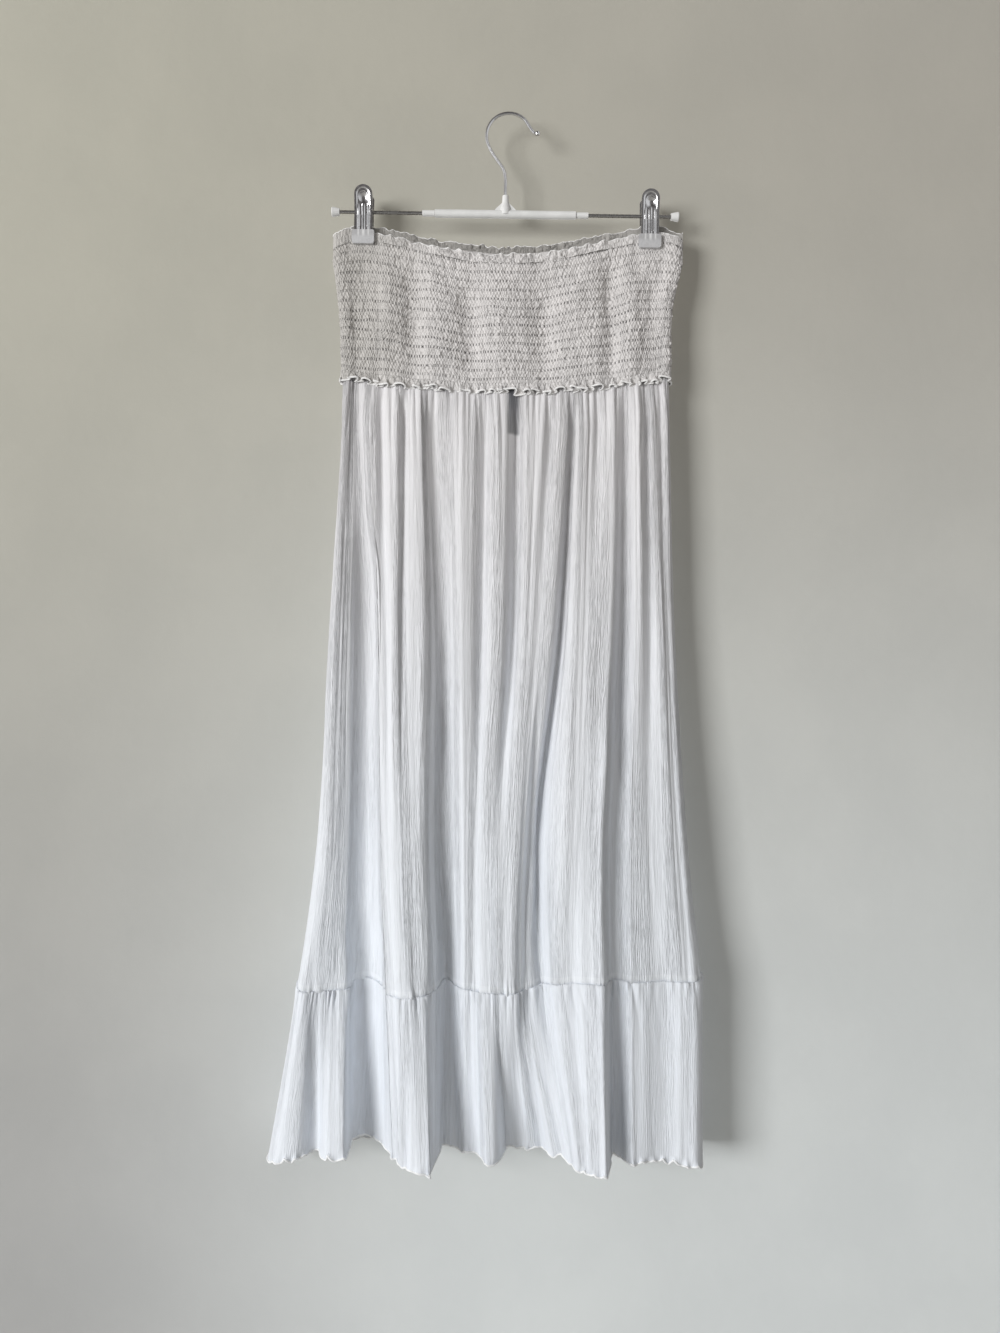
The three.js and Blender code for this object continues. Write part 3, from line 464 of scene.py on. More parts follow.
# the hem's drop at the sides; how much hem and flounce seam rise in a valley, and how far out
# it is at most
sideDrop, valleyLift, valleyReach, seamLift = 11, 6, 12, 6
seamRun = dict(at=(-185, -120, -50, 10, 60, 120, 185), rise=(-6, -4, 0, 0, 10, 8, 7))
clipHalfSpan = 136  # from the middle to each clip
yokeLine = {"front": dict(depth=120, dip=24, droop=10), "back": dict(depth=111.5, dip=19, droop=12)}
jointLine = dict(depth=245, dip=14)
skirtEdges = ((-158, -171, -182, -200, -228), (152, 157, 168, 179, 180))
yokeEdges = ((-167, -161, -159.6), (165, 155, 153.6))


# ridge and rise: x and how far out at each level; valley and floor: the same, to its right;
# fall and climb: how full the valley's left and right flanks are
def fold(ridge, rise, valley=None, floor=None, fall=1.8, climb=1.8):
    return dict(ridge=ridge, rise=rise, valley=valley, floor=floor, fall=fall, climb=climb)


frontFolds = [
    fold(
        (-154, -163, -171, -188, -205), (9, 15, 19, 23, 32),
        (-151, -158, -164, -176, -182), (7.5, 13.5, 17.5, 19.5, 20),
    ),
    fold(
        (-148, -150, -151, -156, -152), (6, 12, 15, 17, 37),
        (-144, -136, -136, -139, -146), (3.5, 3.5, 3.5, 3.5, 3), 1.2, 0.5,
    ),
    fold(
        (-131, -123, -119, -114, -108), (13, 22, 32, 38, 34),
        (-119, -114, -112, -105, -101), (9, 20, 36, 45, 44),
    ),
    fold(
        (-109, -106, -102, -97, -95), (14, 26, 40, 50, 52),
        (-99, -100, -96, -90, -87), (6, 21, 41, 50.5, 58),
    ),
    fold(
        (-90, -87, -86, -80, -73), (14, 24, 40, 48, 61),
        (-73, -64, -64, -60, -62), (4, 4, 4, 4, 4), 1.6, 0.8,
    ),
    fold((-46, -45, -42, -41, -38), (15, 22, 30, 32, 18), (-22, -26, -31, -32, -28), (5.5, 12, 30, 35, 24)),
    fold((-10, -13, -22, -21, -18), (14, 21, 34, 41, 42), (7, 3, -10, -10, -5), (4, 7, 35, 43, 10)),
    fold((24, 16, 5, 2, 14), (14, 22, 36, 44, 13), (39, 27, 13, 10, 30), (7, 20, 32, 38, 10)),
    fold((49, 36, 19, 18, 46), (13, 21, 22, 32, 28), (60, 47, 25, 30, 55), (4, 5, 10, 26, 40)),
    fold((70, 64, 57, 54, 65), (14, 27, 44, 44, 56), (83, 76, 68, 66, 73), (8, 26, 44, 49, 61)),
    fold((96, 91, 80, 80, 83), (13, 25, 43, 50, 62), (109, 105, 95, 95, 96), (4, 5, 10, 18, 9), 1.3, 0.8),
    fold((118, 117, 112, 112, 112), (14, 22, 31, 37, 42), (130, 132, 130, 134, 134), (6, 14, 28, 34, 37)),
    fold(
        (136, 142, 146, 152, 152), (12, 18, 28, 34, 38),
        (143, 146.5, 153, 160, 160), (4.8, 15, 26, 33, 36),
    ),
    fold((148, 150, 159, 167, 167), (9, 13.5, 24, 31, 35)),
]
backFolds = [
    fold(
        (-148, -150, -158, -168, -168), (9, 14, 17, 18, 19),
        (-138, -136, -142, -148, -146), (6, 7, 8, 8, 7),
    ),
    fold((-119, -116, -118, -122, -124), (12, 18, 20, 21, 22), (-103, -99, -97, -98, -100), (7, 8, 9, 9, 8)),
    fold((-86, -79, -74, -72, -74), (12, 19, 21, 22, 23), (-68, -60, -53, -48, -50), (6, 7, 8, 8, 8)),
    fold((-50, -42, -32, -24, -24), (13, 18, 21, 22, 22), (-31, -25, -13, -2, -1), (8, 10, 9, 9, 8)),
    fold((-12, -5, 8, 22, 24), (12, 19, 21, 21, 22), (5, 12, 27, 44, 47), (6, 7, 8, 9, 8)),
    fold((24, 32, 46, 66, 70), (13, 19, 21, 22, 23), (43, 52, 66, 88, 94), (7, 8, 9, 9, 8)),
    fold((62, 72, 86, 110, 118), (12, 18, 20, 22, 22), (81, 92, 106, 132, 143), (7, 9, 8, 9, 8)),
    fold((100, 111, 126, 152, 167), (12, 18, 20, 20, 21), (118, 130, 145, 168, 188), (6, 7, 8, 9, 8)),
    fold((134, 147, 160, 178, 208), (12, 16, 18, 17, 18), (146, 158, 170, 186, 214), (7, 9, 12, 13, 14)),
    fold((153, 165, 176, 193, 220), (8, 11, 14, 14, 15)),
]
yokeFrontFolds = [
    fold((-161, -155, -153), (4.5, 6.5, 8.5), (-150, -146, -144), (3.4, 5, 7)),
    fold((-138, -134, -132), (3.4, 5.2, 7.3), (-126, -124, -124), (3.4, 5, 6.8)),
    fold((-111, -111, -112), (6, 9, 9.5), (-90, -90, -90), (5, 6.5, 7)),
    fold((-62, -62, -62), (8, 10, 10), (-36, -36, -35), (7, 7.5, 7.5)),
    fold((-2, -2, -2), (10, 10.5, 10), (34, 34, 34), (7, 7.5, 7.5)),
    fold((74, 74, 74), (8, 10, 10), (97, 97, 97), (5, 6.5, 7)),
    fold((112, 114, 115), (4.6, 8, 9), (121.5, 126, 128), (3.4, 5.6, 7.5)),
    fold((134, 134, 136), (3.4, 5.2, 7.5), (145.5, 142, 142), (3.4, 5, 7)),
    fold((156, 149, 147), (4.5, 6.5, 8.5)),
]
yokeBackFolds = [
    fold((-156, -149, -147), (4.5, 6.5, 8.5), (-145.5, -142, -141), (3.4, 5, 7)),
    fold((-134, -134, -133), (3.4, 5.4, 8), (-121.5, -122, -122), (3.4, 5.2, 7)),
    fold((-98, -98, -98), (5.5, 8, 9), (-72, -72, -72), (4.6, 6, 7)),
    fold((-44, -44, -44), (6.5, 8.5, 9), (-16, -16, -16), (5.4, 6.2, 7)),
    fold((12, 12, 12), (6.5, 8.5, 9), (40, 40, 40), (5, 6.2, 7)),
    fold((70, 70, 70), (6, 8.5, 9), (98, 97, 97), (4.6, 6, 7)),
    fold((114, 114, 115), (4.6, 7, 9), (126, 126, 127), (3.4, 5.2, 7)),
    fold((138, 137, 137), (3.4, 5.4, 8), (150, 147, 146), (3.4, 5, 7)),
    fold((161, 155, 153), (4.5, 6.5, 8.5)),
]


def smoothBetween(levels, values, at):  # the same smooth curve through the columns as the solids'
    levels, values = np.asarray(levels, float), np.asarray(values, float)
    at = np.clip(at, levels[0], levels[-1])
    last = len(levels) - 2
    k = np.clip(np.searchsorted(levels, at, side="right") - 1, 0, last)
    before, after = np.where(k > 0, k - 1, k + 1), np.where(k < last, k + 2, k)
    low, high = levels[k], levels[k + 1]
    p = (at - low) / (high - low)
    early = 0.5 * (high - low) / (low - levels[before])
    late = 0.5 * (high - low) / (levels[after] - high)
    return (
        values[before] * (-early * p**3 + 2 * early * p**2 - early * p)
        + values[k] * ((1 + early) * p**3 + (-1.5 - 2 * early) * p**2 + (early - 0.5) * p + 1)
        + values[k + 1] * ((-1 - late) * p**3 + (1.5 + late) * p**2 + 0.5 * p)
        + values[after] * (late * p**3 - late * p**2)
    )


def panelOf(side, folds, levels, edges):  # side 1 is the front; the back is seen from behind
    left, right = edges
    if side < 0:
        left, right = tuple(-x for x in right), tuple(-x for x in left)
    return dict(folds=folds, levels=levels, left=left, right=right)


def flank(along, fullness):  # 1 on the ridge, 0 in the valley
    return np.cos(np.pi / 2 * along**fullness) ** 2


def foldedRows(panel, levels, spacing):
    # The panel's horizontal sections: x and out by row and column, and each column's place on
    # the flat cloth. Columns are about spacing apart where the cloth is widest.
    at = lambda values: smoothBetween(panel["levels"], values, levels)
    blocks = []

    def steps(x0, out0, x1, out1):  # a flank's curve is about an eighth longer than its chord
        chord = np.hypot(x1 - x0, out1 - out0).max()
        return max(3, int(math.ceil(1.12 * chord / spacing)))

    def turn(crestX, crestOut, edge, inward):
        count = steps(edge, seamOut, crestX, crestOut)
        angle = np.arange(count) / count * np.pi / 2
        angle = np.pi / 2 - angle if inward else angle + np.pi / 2 / count
        x = crestX[:, None] + (edge - crestX)[:, None] * np.sin(angle)
        out = seamOut + (crestOut - seamOut)[:, None] * np.cos(angle)
        blocks.append((x, out))

    def slope(ridgeX, ridgeOut, valleyX, valleyOut, fullness, down):
        count = steps(ridgeX, ridgeOut, valleyX, valleyOut)
        t = np.arange(count) / count if down else 1 - np.arange(count) / count
        x = ridgeX[:, None] + (valleyX - ridgeX)[:, None] * t
        out = valleyOut[:, None] + (ridgeOut - valleyOut)[:, None] * flank(t, fullness)
        blocks.append((x, out))

    folds = panel["folds"]
    first, last = folds[0], folds[-1]
    turn(at(first["ridge"]), at(first["rise"]), at(panel["left"]), True)
    for here, after in zip(folds, folds[1:]):
        valleyX, valleyOut = at(here["valley"]), at(here["floor"])
        slope(at(here["ridge"]), at(here["rise"]), valleyX, valleyOut, here["fall"], True)
        slope(at(after["ridge"]), at(after["rise"]), valleyX, valleyOut, here["climb"], False)
    blocks.append((at(last["ridge"])[:, None], at(last["rise"])[:, None]))
    turn(at(last["ridge"]), at(last["rise"]), at(panel["right"]), False)
    x = np.hstack([b[0] for b in blocks])
    out = np.hstack([b[1] for b in blocks])
    step = np.hypot(np.diff(x, axis=1), np.diff(out, axis=1)).max(axis=0)
    flat = np.concatenate([[0], np.cumsum(step)])
    return x, out, flat


def outwardOf(x, out):  # unit outward direction of each section; square to the side seams
    dx, dout = np.gradient(x, axis=1), np.gradient(out, axis=1)
    length = np.maximum(np.hypot(dx, dout), 1e-6)
    nx, nout = -dout / length, dx / length
    nx[:, 0], nout[:, 0], nx[:, -1], nout[:, -1] = -1, 0, 1, 0
    return nx, nout


def moved(grid, amount):
    nx, nout = outwardOf(grid["x"], grid["out"])
    return dict(grid, x=grid["x"] + nx * amount, out=grid["out"] + nout * amount)


def smoothStep(low, high, value):
    t = np.clip((value - low) / (high - low), 0, 1)
    return t * t * (3 - 2 * t)


def offSides(along, reach):  # 0 at the side seams, 1 from reach inwards
    return smoothStep(0, reach, np.minimum(along, along[-1] - along))[None, :]


def ripple(across, along, pitch, length, seed):  # uneven strands: a soft random field
    rng = np.random.default_rng(seed)
    a = (across - across.min()) / pitch
    b = (along - along.min()) / length
    knots = rng.standard_normal((int(a.max()) + 2, int(b.max()) + 4))
    shift = rng.random(knots.shape[0])

    def strand(i):
        c = b + shift[i]
        j = c.astype(int)
        f = smoothStep(0, 1, c - j)
        return knots[i, j] * (1 - f) + knots[i, j + 1] * f

    i = a.astype(int)
    f = smoothStep(0, 1, a - i)
    return strand(i) * (1 - f) + strand(i + 1) * f


def lowestAround(field, reachCells):  # smallest value within a few cells
    low = field.copy()
    for axis in (0, 1):
        current = low.copy()
        for shift in range(-reachCells, reachCells + 1):
            low = np.minimum(low, np.roll(current, shift, axis=axis))
    return low


def yokeTopAt(line, x):
    away = np.abs(x) / clipHalfSpan
    dip = np.where(away < 1, line["dip"] * np.cos(np.minimum(away, 1) * np.pi / 2) ** 1.3, 0)
    droop = np.where(away > 1, line["droop"] * ((away - 1) * 4) ** 2, 0)
    return -(line["depth"] + dip + droop)


def jointAt(x):
    return -(jointLine["depth"] + jointLine["dip"] * np.cos(x * np.pi / 320))


# Meshes from grids

innerStep = 3  # the inner face has every third point


def gridFaces(rows, columns, start=0):
    index = start + np.arange(rows * columns).reshape(rows, columns)
    quads = np.stack([index[:-1, :-1], index[1:, :-1], index[1:, 1:], index[:-1, 1:]], axis=-1)
    return index, quads.reshape(-1, 4)


def strided(count, step):  # every step-th place, the last one always kept
    places = list(range(0, count - 1, step))
    return np.array(places + [count - 1])


def linked(name, mesh, material):  # a new piece of the scene, with its mesh and finish
    mesh.materials.append(material)
    piece = bpy.data.objects.new(name, mesh)
    scene.collection.objects.link(piece)
    return piece


def clothMesh(name, outer, inner, side, material, step, flatPlace):
    # A closed shell: a fine outer face, an inner face with every step-th point, and rims of
    # polygons that join the two. Grids are in millimetres, with keys x, out and z.
    rows, columns = outer["x"].shape
    r, c = strided(rows, step), strided(columns, step)
    thin = {k: inner[k][np.ix_(r, c)] for k in ("x", "out", "z")}
    points = []
    for face in (outer, thin):
        points.append(np.stack([side * face["x"], -side * face["out"], face["z"]], axis=-1).reshape(-1, 3))
    points = np.vstack(points) * mm
    outerIndex, outerQuads = gridFaces(rows, columns)
    innerIndex, innerQuads = gridFaces(len(r), len(c), rows * columns)
    rims = []
    for k in range(len(c) - 1):
        top = list(outerIndex[0, c[k]:c[k + 1] + 1])
        rims.append(top + [innerIndex[0, k + 1], innerIndex[0, k]])
        foot = list(outerIndex[-1, c[k]:c[k + 1] + 1])
        rims.append(foot[::-1] + [innerIndex[-1, k], innerIndex[-1, k + 1]])
    for k in range(len(r) - 1):
        left = list(outerIndex[r[k]:r[k + 1] + 1, 0])
        rims.append(left[::-1] + [innerIndex[k, 0], innerIndex[k + 1, 0]])
        right = list(outerIndex[r[k]:r[k + 1] + 1, -1])
        rims.append(right + [innerIndex[k + 1, -1], innerIndex[k, -1]])
    quads = len(outerQuads) + len(innerQuads)
    sizes = np.concatenate([np.full(quads, 4), [len(p) for p in rims]])
    loops = np.concatenate([outerQuads.ravel(), innerQuads[:, ::-1].ravel(), np.concatenate(rims)])
    mesh = bpy.data.meshes.new(name)
    mesh.vertices.add(len(points))
    mesh.vertices.foreach_set("co", points.ravel())
    mesh.loops.add(len(loops))
    mesh.loops.foreach_set("vertex_index", loops.astype(np.int32))
    mesh.polygons.add(len(sizes))
    mesh.polygons.foreach_set("loop_start", np.concatenate([[0], np.cumsum(sizes)[:-1]]).astype(np.int32))
    mesh.polygons.foreach_set("use_smooth", np.arange(len(sizes)) < quads)
    flat = np.stack(flatPlace, axis=-1)
    flat = np.concatenate([flat.reshape(-1, 2), flat[np.ix_(r, c)].reshape(-1, 2)]) * mm
    layer = mesh.uv_layers.new(name="cloth")
    layer.data.foreach_set("uv", flat[loops].astype(np.float32).ravel())
    mesh.update(calc_edges=True)
    mesh.validate()
    return linked(name, mesh, material)


def paintPoints(piece, name, values, inside=0.0):  # a value for each point of the outer face
    attribute = piece.data.attributes.new(name, "FLOAT", "POINT")
    every = np.full(len(piece.data.vertices), inside, np.float32)
    every[:values.size] = values.ravel()
    attribute.data.foreach_set("value", every)


def beadMesh(name, path, radius, material, facets=7):  # a thin rolled edge along a row of points
    along = np.gradient(path, axis=0)
    along /= np.linalg.norm(along, axis=1)[:, None]
    side = np.cross(along, np.array([0.0, 0.0, 1.0]))
    side /= np.maximum(np.linalg.norm(side, axis=1), 1e-6)[:, None]
    over = np.cross(side, along)
    angles = np.arange(facets) * 2 * np.pi / facets
    rings = path[:, None, :] + radius * (
        np.cos(angles)[None, :, None] * side[:, None, :] + np.sin(angles)[None, :, None] * over[:, None, :]
    )
    count = len(path)
    points = np.vstack([rings.reshape(-1, 3), path[:1], path[-1:]]) * mm
    faces = []
    for i in range(count - 1):
        for k in range(facets):
            a, b = i * facets + k, i * facets + (k + 1) % facets
            faces.append((a, b, b + facets, a + facets))
    for k in range(facets):
        a, b = k, (k + 1) % facets
        faces.append((b, a, count * facets))
        faces.append(((count - 1) * facets + a, (count - 1) * facets + b, count * facets + 1))
    mesh = bpy.data.meshes.new(name)
    mesh.from_pydata(points.tolist(), [], faces)
    mesh.polygons.foreach_set("use_smooth", np.ones(len(faces), bool))
    mesh.update()
    return linked(name, mesh, material)


def rolledEdgeOf(name, face, row, side, inwards, radius):  # a bead along one row of a face
    path = [side * face["x"][row], -side * (face["out"][row] - inwards), face["z"][row]]
    return beadMesh(name, np.stack(path, axis=-1), radius, rolledEdge)


# Cloth finishes

# mid is the cloth's tone; light is painted light on the crinkle's ridges; dark and shade paint shade.
gauzeSet = dict(
    body=dict(
        mid=(0.848, 0.852, 0.870, 1), light=(0.920, 0.926, 0.944, 1), dark=(0.590, 0.592, 0.605, 1),
        pitch=0.0021, length=0.050, relief=0.00085, shade=0.36,
    ),
    flounce=dict(
        mid=(0.824, 0.829, 0.849, 1), light=(0.898, 0.906, 0.938, 1), dark=(0.620, 0.620, 0.630, 1),
        pitch=0.0021, length=0.050, relief=0.00060, shade=0.30,
    ),
    # The yoke is the same cloth as the body: its darker, warmer tones are painted shade.
    yoke=dict(
        mid=(0.815, 0.807, 0.805, 1), light=(0.905, 0.895, 0.890, 1), dark=(0.570, 0.555, 0.550, 1),
        pitch=0.0022, length=0.006, relief=0.0005, shade=0.35,
    ),
    ruffle=dict(
        mid=(0.845, 0.838, 0.836, 1), light=(0.925, 0.918, 0.914, 1), dark=(0.600, 0.590, 0.585, 1),
        pitch=0.0022, length=0.010, relief=0.0006, shade=0.35,
    ),
    # tint: how much of the painted light by height the rolled edge takes
    edge=dict(
        mid=(0.940, 0.940, 0.938, 1), light=(0.960, 0.960, 0.958, 1), dark=(0.820, 0.820, 0.815, 1),
        pitch=0.0009, length=0.0012, relief=0.0002, shade=0.3, tint=0.4,
    ),
    roughness=(0.6, 1.8, 0.95, 0.82), thread=0.00048, threadRelief=0.00006, sheen=0.08,
)


def gauzeMaterial(name, look, ownMap=True, extra=None, stitched=False):
    material, tree, shader = newMaterial(name)
    solidPlace = objectPlace(tree)
    place = clothPlace(tree) if ownMap else solidPlace
    folds = useGroup(tree, crinkle, Place=place, Pitch=look["pitch"], Length=look["length"])
    threads = useGroup(tree, weave, Place=place, Thread=gauzeSet["thread"])
    # painted light along the ridge lines, then painted shade in the grooves
    tone = mixColour(tree, folds["RidgeLight"], look["mid"], look["light"])
    tone = mixColour(tree, times(tree, folds["GrooveShade"], look["shade"]), tone, look["dark"])
    if extra:
        tone = extra(tree, tone, folds)
    # painted light by height, multiplied into the colour
    tint = useGroup(tree, paintedLightByHeight, Place=solidPlace)["Tint"]
    fine = bumpNode(tree, threads["Height"], 0.6, gauzeSet["threadRelief"])
    creased = bumpNode(tree, folds["Height"], 1.0, look["relief"], Normal=fine)
    if stitched:
        creased = bumpNode(tree, stitches(tree)["Height"], 1.0, shirring["bump"], Normal=creased)
    fill(tree, shader, {
        "Base Color": mixColour(tree, look.get("tint", 1.0), tone, tint, "MULTIPLY"),
        "Roughness": rangeNode(tree, folds["Height"], *gauzeSet["roughness"], "LINEAR"),
        "Specular IOR Level": 0.2, "Sheen Weight": gauzeSet["sheen"], "Sheen Roughness": 0.6,
        "Normal": creased,
    })
    return material


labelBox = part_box("inner_label")
labelSet = dict(
    halfWidth=0.0054, edge=0.0020, strength=1.0, foot=0.72, aside=-0.0028, veil=0.3,
    tone=(0.105, 0.110, 0.125, 1),
)
# The seam band is whiter where the cloth is doubled, and also painted light over the shade along the seam.
seamBandSet = dict(height=0.0075, edge=0.0006, amount=0.60, tone=(0.93, 0.93, 0.94, 1))


def labelAndSeam(tree, tone, folds):  # the label behind the gauze, and the seam's whiter double cloth, partly painted light
    place = objectPlace(tree)
    low, high = labelBox
    sizes = {
        "Middle X": (low.x + high.x) / 2 + labelSet["aside"], "Middle Z": (low.z + high.z) / 2,
        "Half Width": labelSet["halfWidth"], "Half Height": (high.z - low.z) / 2, "Edge": labelSet["edge"],
    }
    mask = useGroup(tree, softBox, Place=place, **sizes)["Mask"]
    top, foot = labelSet["strength"], labelSet["strength"] * labelSet["foot"]
    fading = rangeNode(tree, axesOf(tree, place)["Z"], high.z, low.z, top, foot)
    veil = minus(tree, 1.0, times(tree, folds["RidgeLight"], labelSet["veil"]))
    mask = times(tree, mask, fading, veil)
    return seamBand(tree, mixColour(tree, mask, tone, labelSet["tone"]), folds)


def seamBand(tree, tone, folds):
    top, edge = seamBandSet["height"], seamBandSet["edge"]
    band = rangeNode(tree, pointValue(tree, "toSeam"), top + edge, top - edge)
    return mixColour(tree, times(tree, band, seamBandSet["amount"]), tone, seamBandSet["tone"])


def stitches(tree):  # the shirring, laid out by each point's row and stitch
    row, stitch = pointValue(tree, "row"), pointValue(tree, "stitch")
    return useGroup(tree, shirringPattern, Row=row, Stitch=stitch)


def shirrShade(tree, tone, folds, deeper=1.0):  # shade in the needle holes and between the crumbs
    marks = stitches(tree)
    patches = noiseNode(tree, clothPlace(tree), shirring["patches"], 2.0)
    upper = rangeNode(tree, pointValue(tree, "row"), *shirring["pulledTop"])
    pulled = times(tree, rangeNode(tree, patches, *shirring["pulled"]), upper)
    gap = times(tree, marks["Gap"], pulled, shirring["gap"] * deeper)
    hole = times(tree, marks["Hole"], pulled, shirring["hole"])
    # darker and warmer towards the left side
    leftwards = rangeNode(tree, axesOf(tree, objectPlace(tree))["X"], *shirring["leftDarkeningSpan"])
    tone = mixColour(tree, times(tree, leftwards, shirring["leftDarkening"]), tone, shirring["leftDarkeningTone"])
    return mixColour(tree, mathNode(tree, "MAXIMUM", gap, hole), tone, shirring["dark"])


# Painted shade on the ruffles' inside faces, which lie in the shade of the front cloth and clips.
insideShadeSet = dict(deeper=2.2, amount=0.7, tone=(0.42, 0.415, 0.39, 1))


def headingShade(tree, tone, folds):  # painted shade on the ruffles' inside faces, and deeper between their crumbs
    tone = shirrShade(tree, tone, folds, insideShadeSet["deeper"])
    inside = times(tree, pointValue(tree, "inside"), insideShadeSet["amount"])
    return mixColour(tree, inside, tone, insideShadeSet["tone"])


bodyGauze = {
    1: gauzeMaterial("crinkleGauzeFront", gauzeSet["body"], extra=labelAndSeam),
    -1: gauzeMaterial("crinkleGauzeBack", gauzeSet["body"], extra=seamBand),
}
flounceGauze = gauzeMaterial("flounceGauze", gauzeSet["flounce"])
yokeGauze = gauzeMaterial("shirredGauze", gauzeSet["yoke"], extra=shirrShade, stitched=True)
headingGauze = gauzeMaterial("headingGauze", gauzeSet["ruffle"], extra=headingShade, stitched=True)
rolledEdge = gauzeMaterial("rolledEdge", gauzeSet["edge"], ownMap=False)
print("gauze materials")

# Yokes

yokeSet = dict(
    wall=1.6, spacing=dict(front=0.70, back=0.95), rowsPerBand=dict(front=11, back=8),
    waves=1.6, pressedIn=0.35, seed=dict(front=11, back=31),
    soft=((0.5, 16, 22, 5), (0.3, 7, 9, 6)),  # depth, pitch, length and seed
)
padBoxes = [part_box(f"clip_{end}_{face}_pad") for end in ("left", "right") for face in ("front", "back")]
padFoot = min(low.z for low, high in padBoxes) / mm


def pressedAt(x, z, side):  # 1 where a clip's pad presses on the cloth, 0 away from it
    pressed = np.zeros_like(x)
    for low, high in padBoxes:
        middle, halfWidth = side * (low.x + high.x) / 2 / mm, (high.x - low.x) / 2 / mm
        beside = 1 - smoothStep(halfWidth + 1, halfWidth + 9, np.abs(x - middle))
        above = smoothStep(padFoot - 12, padFoot - 3, z)
        pressed = np.maximum(pressed, beside * above)
    return pressed


def yokeRows(perBand):  # rows of the grid, the same number between each two lines of shirring
    first, last = shirring["first"], shirring["last"]
    between = np.linspace(first, last, (shirring["lines"] - 1) * perBand + 1)
    return np.array([0.0] + list(between) + [0.97, 0.985, 1.0])


yokeWaves = [  # soft upright waves: at, width and depth in millimetres, from and to down the yoke
    (-140, 10, -1.6, 0.10, 0.75), (-118, 9, 1.3, 0.2, 1.0), (-92, 9, -1.9, 0.15, 0.85),
    (-66, 13, 1.2, 0.1, 1.0), (-38, 10, -2.2, 0.25, 0.95), (-6, 15, 1.3, 0.1, 1.0),
    (33, 12, -2.4, 0.2, 0.95), (66, 13, 1.3, 0.15, 1.0), (97, 9, -2.2, 0.1, 0.9),
    (116, 8, 1.0, 0.3, 1.0), (136, 7, -1.6, 0.3, 0.9),
]


def wavesOf(x, v):
    total = np.zeros_like(x)
    for at, width, depth, top, foot in yokeWaves:
        shape = np.exp(-(((x - at) / width) ** 2))
        spread = smoothStep(top - 0.12, top + 0.15, v) * smoothStep(foot + 0.1, foot - 0.2, v)
        total += depth * shape * spread
    return total


def stitchesAt(across, along, seed):
    return across / shirring["pitch"] + 0.34 * ripple(across, along, 6, 0.9, seed)


def shirredRelief(flat, v, seed):
    # Crumbs between the lines of elastic, drawn in along each line. Returns the relief in
    # millimetres, and each point's row of shirring and stitch along it.
    count = shirring["lines"] - 1
    along = (v[:, None] - shirring["first"]) / (shirring["last"] - shirring["first"]) * count
    across = flat[None, :] + 0 * along
    row = along + 0.08 * ripple(across, along, 20, 1.3, seed)
    stitch = stitchesAt(across, along, seed + 1)
    slant = shirring["slant"] * row
    cell = np.abs(np.sin(np.pi * (stitch + slant)) * np.sin(np.pi * (stitch - slant)))
    arch = 0.35 + 0.65 * np.abs(np.sin(np.pi * row)) ** 0.6
    fullness = np.clip(1 + 0.50 * ripple(across, along, 3.4, 0.5, seed + 2), 0.15, 1.9)
    puff = shirring["puff"] * arch * (0.48 + 0.52 * np.sqrt(cell) * fullness)
    puff = np.where((row > -0.2) & (row < count + 0.2), puff, 0.35)
    relief = puff + shirring["crumb"] * ripple(across, along, 1.9, 0.22, seed + 4) - 0.35
    return relief, row, stitch


def wallOf(base, relief, wall, lastWall=None):  # a wall's two faces; its last row may be thinner
    inner = moved(base, lowestAround(relief, innerStep) - wall)
    if lastWall:
        last = moved(base, relief - lastWall)
        inner["x"][-1], inner["out"][-1] = last["x"][-1], last["out"][-1]
    return moved(base, relief), inner


def makeYoke(name, side):
    panel = panelOf(side, yokeFrontFolds if side > 0 else yokeBackFolds, yokeLevels, yokeEdges)
    v = yokeRows(yokeSet["rowsPerBand"][name])
    levels = yokeTopLevel + (yokeLevels[-1] - yokeTopLevel) * v
    x, out, flat = foldedRows(panel, levels, yokeSet["spacing"][name])
    z = yokeTopAt(yokeLine[name], x) * (1 - v[:, None]) + jointAt(x) * v[:, None]
    base = dict(x=x, out=out, z=z)
    relief, rowAt, stitchAt = shirredRelief(flat, v, yokeSet["seed"][name])
    across = flat[None, :] + 0 * z
    soft = sum(depth * ripple(across, z, *field) for depth, *field in yokeSet["soft"])
    soft = soft + yokeSet["waves"] * wavesOf(x, v[:, None])
    pressed = pressedAt(x, z, side)
    relief = ((relief + soft) * offSides(flat, 5)) * (1 - pressed) - yokeSet["pressedIn"] * pressed
    outer, inner = wallOf(base, relief, yokeSet["wall"])
    title = f"yoke{name.capitalize()}Cloth"
    piece = clothMesh(title, outer, inner, side, yokeGauze, innerStep, (across, z))
    paintPoints(piece, "row", rowAt, inside=0.5)
    paintPoints(piece, "stitch", stitchAt)
    return piece, base


# Ruffles

headingSet = dict(
    height=9.2, corner=5.5, rows=12, waves=26, swing=0.6, wall=0.8, spacing=0.55, sink=1.0, curl=0.8,
    crumb=0.85, pleat=0.30, proud=0.3, pressedIn=0.45, bead=0.5, stretch=1.6,
)
frillSet = dict(
    height=7.4, rows=13, waves=27, spread=0.6, tilt=0.20, swing=0.38, loop=2.9, wall=0.7, rise=1.3,
    spacing=0.46, sink=0.3, crumb=0.48, pleat=0.4, bead=0.88, stretch=1.8,
)


def rowOf(base, index, spacing):  # one row of a grid, resampled to even steps
    x, out, z = base["x"][index], base["out"][index], base["z"][index]
    length = np.concatenate([[0], np.cumsum(np.hypot(np.diff(x), np.diff(out)))])
    at = np.linspace(0, length[-1], int(length[-1] / spacing))
    return dict(x=np.interp(at, length, x), out=np.interp(at, length, out), z=np.interp(at, length, z)), at


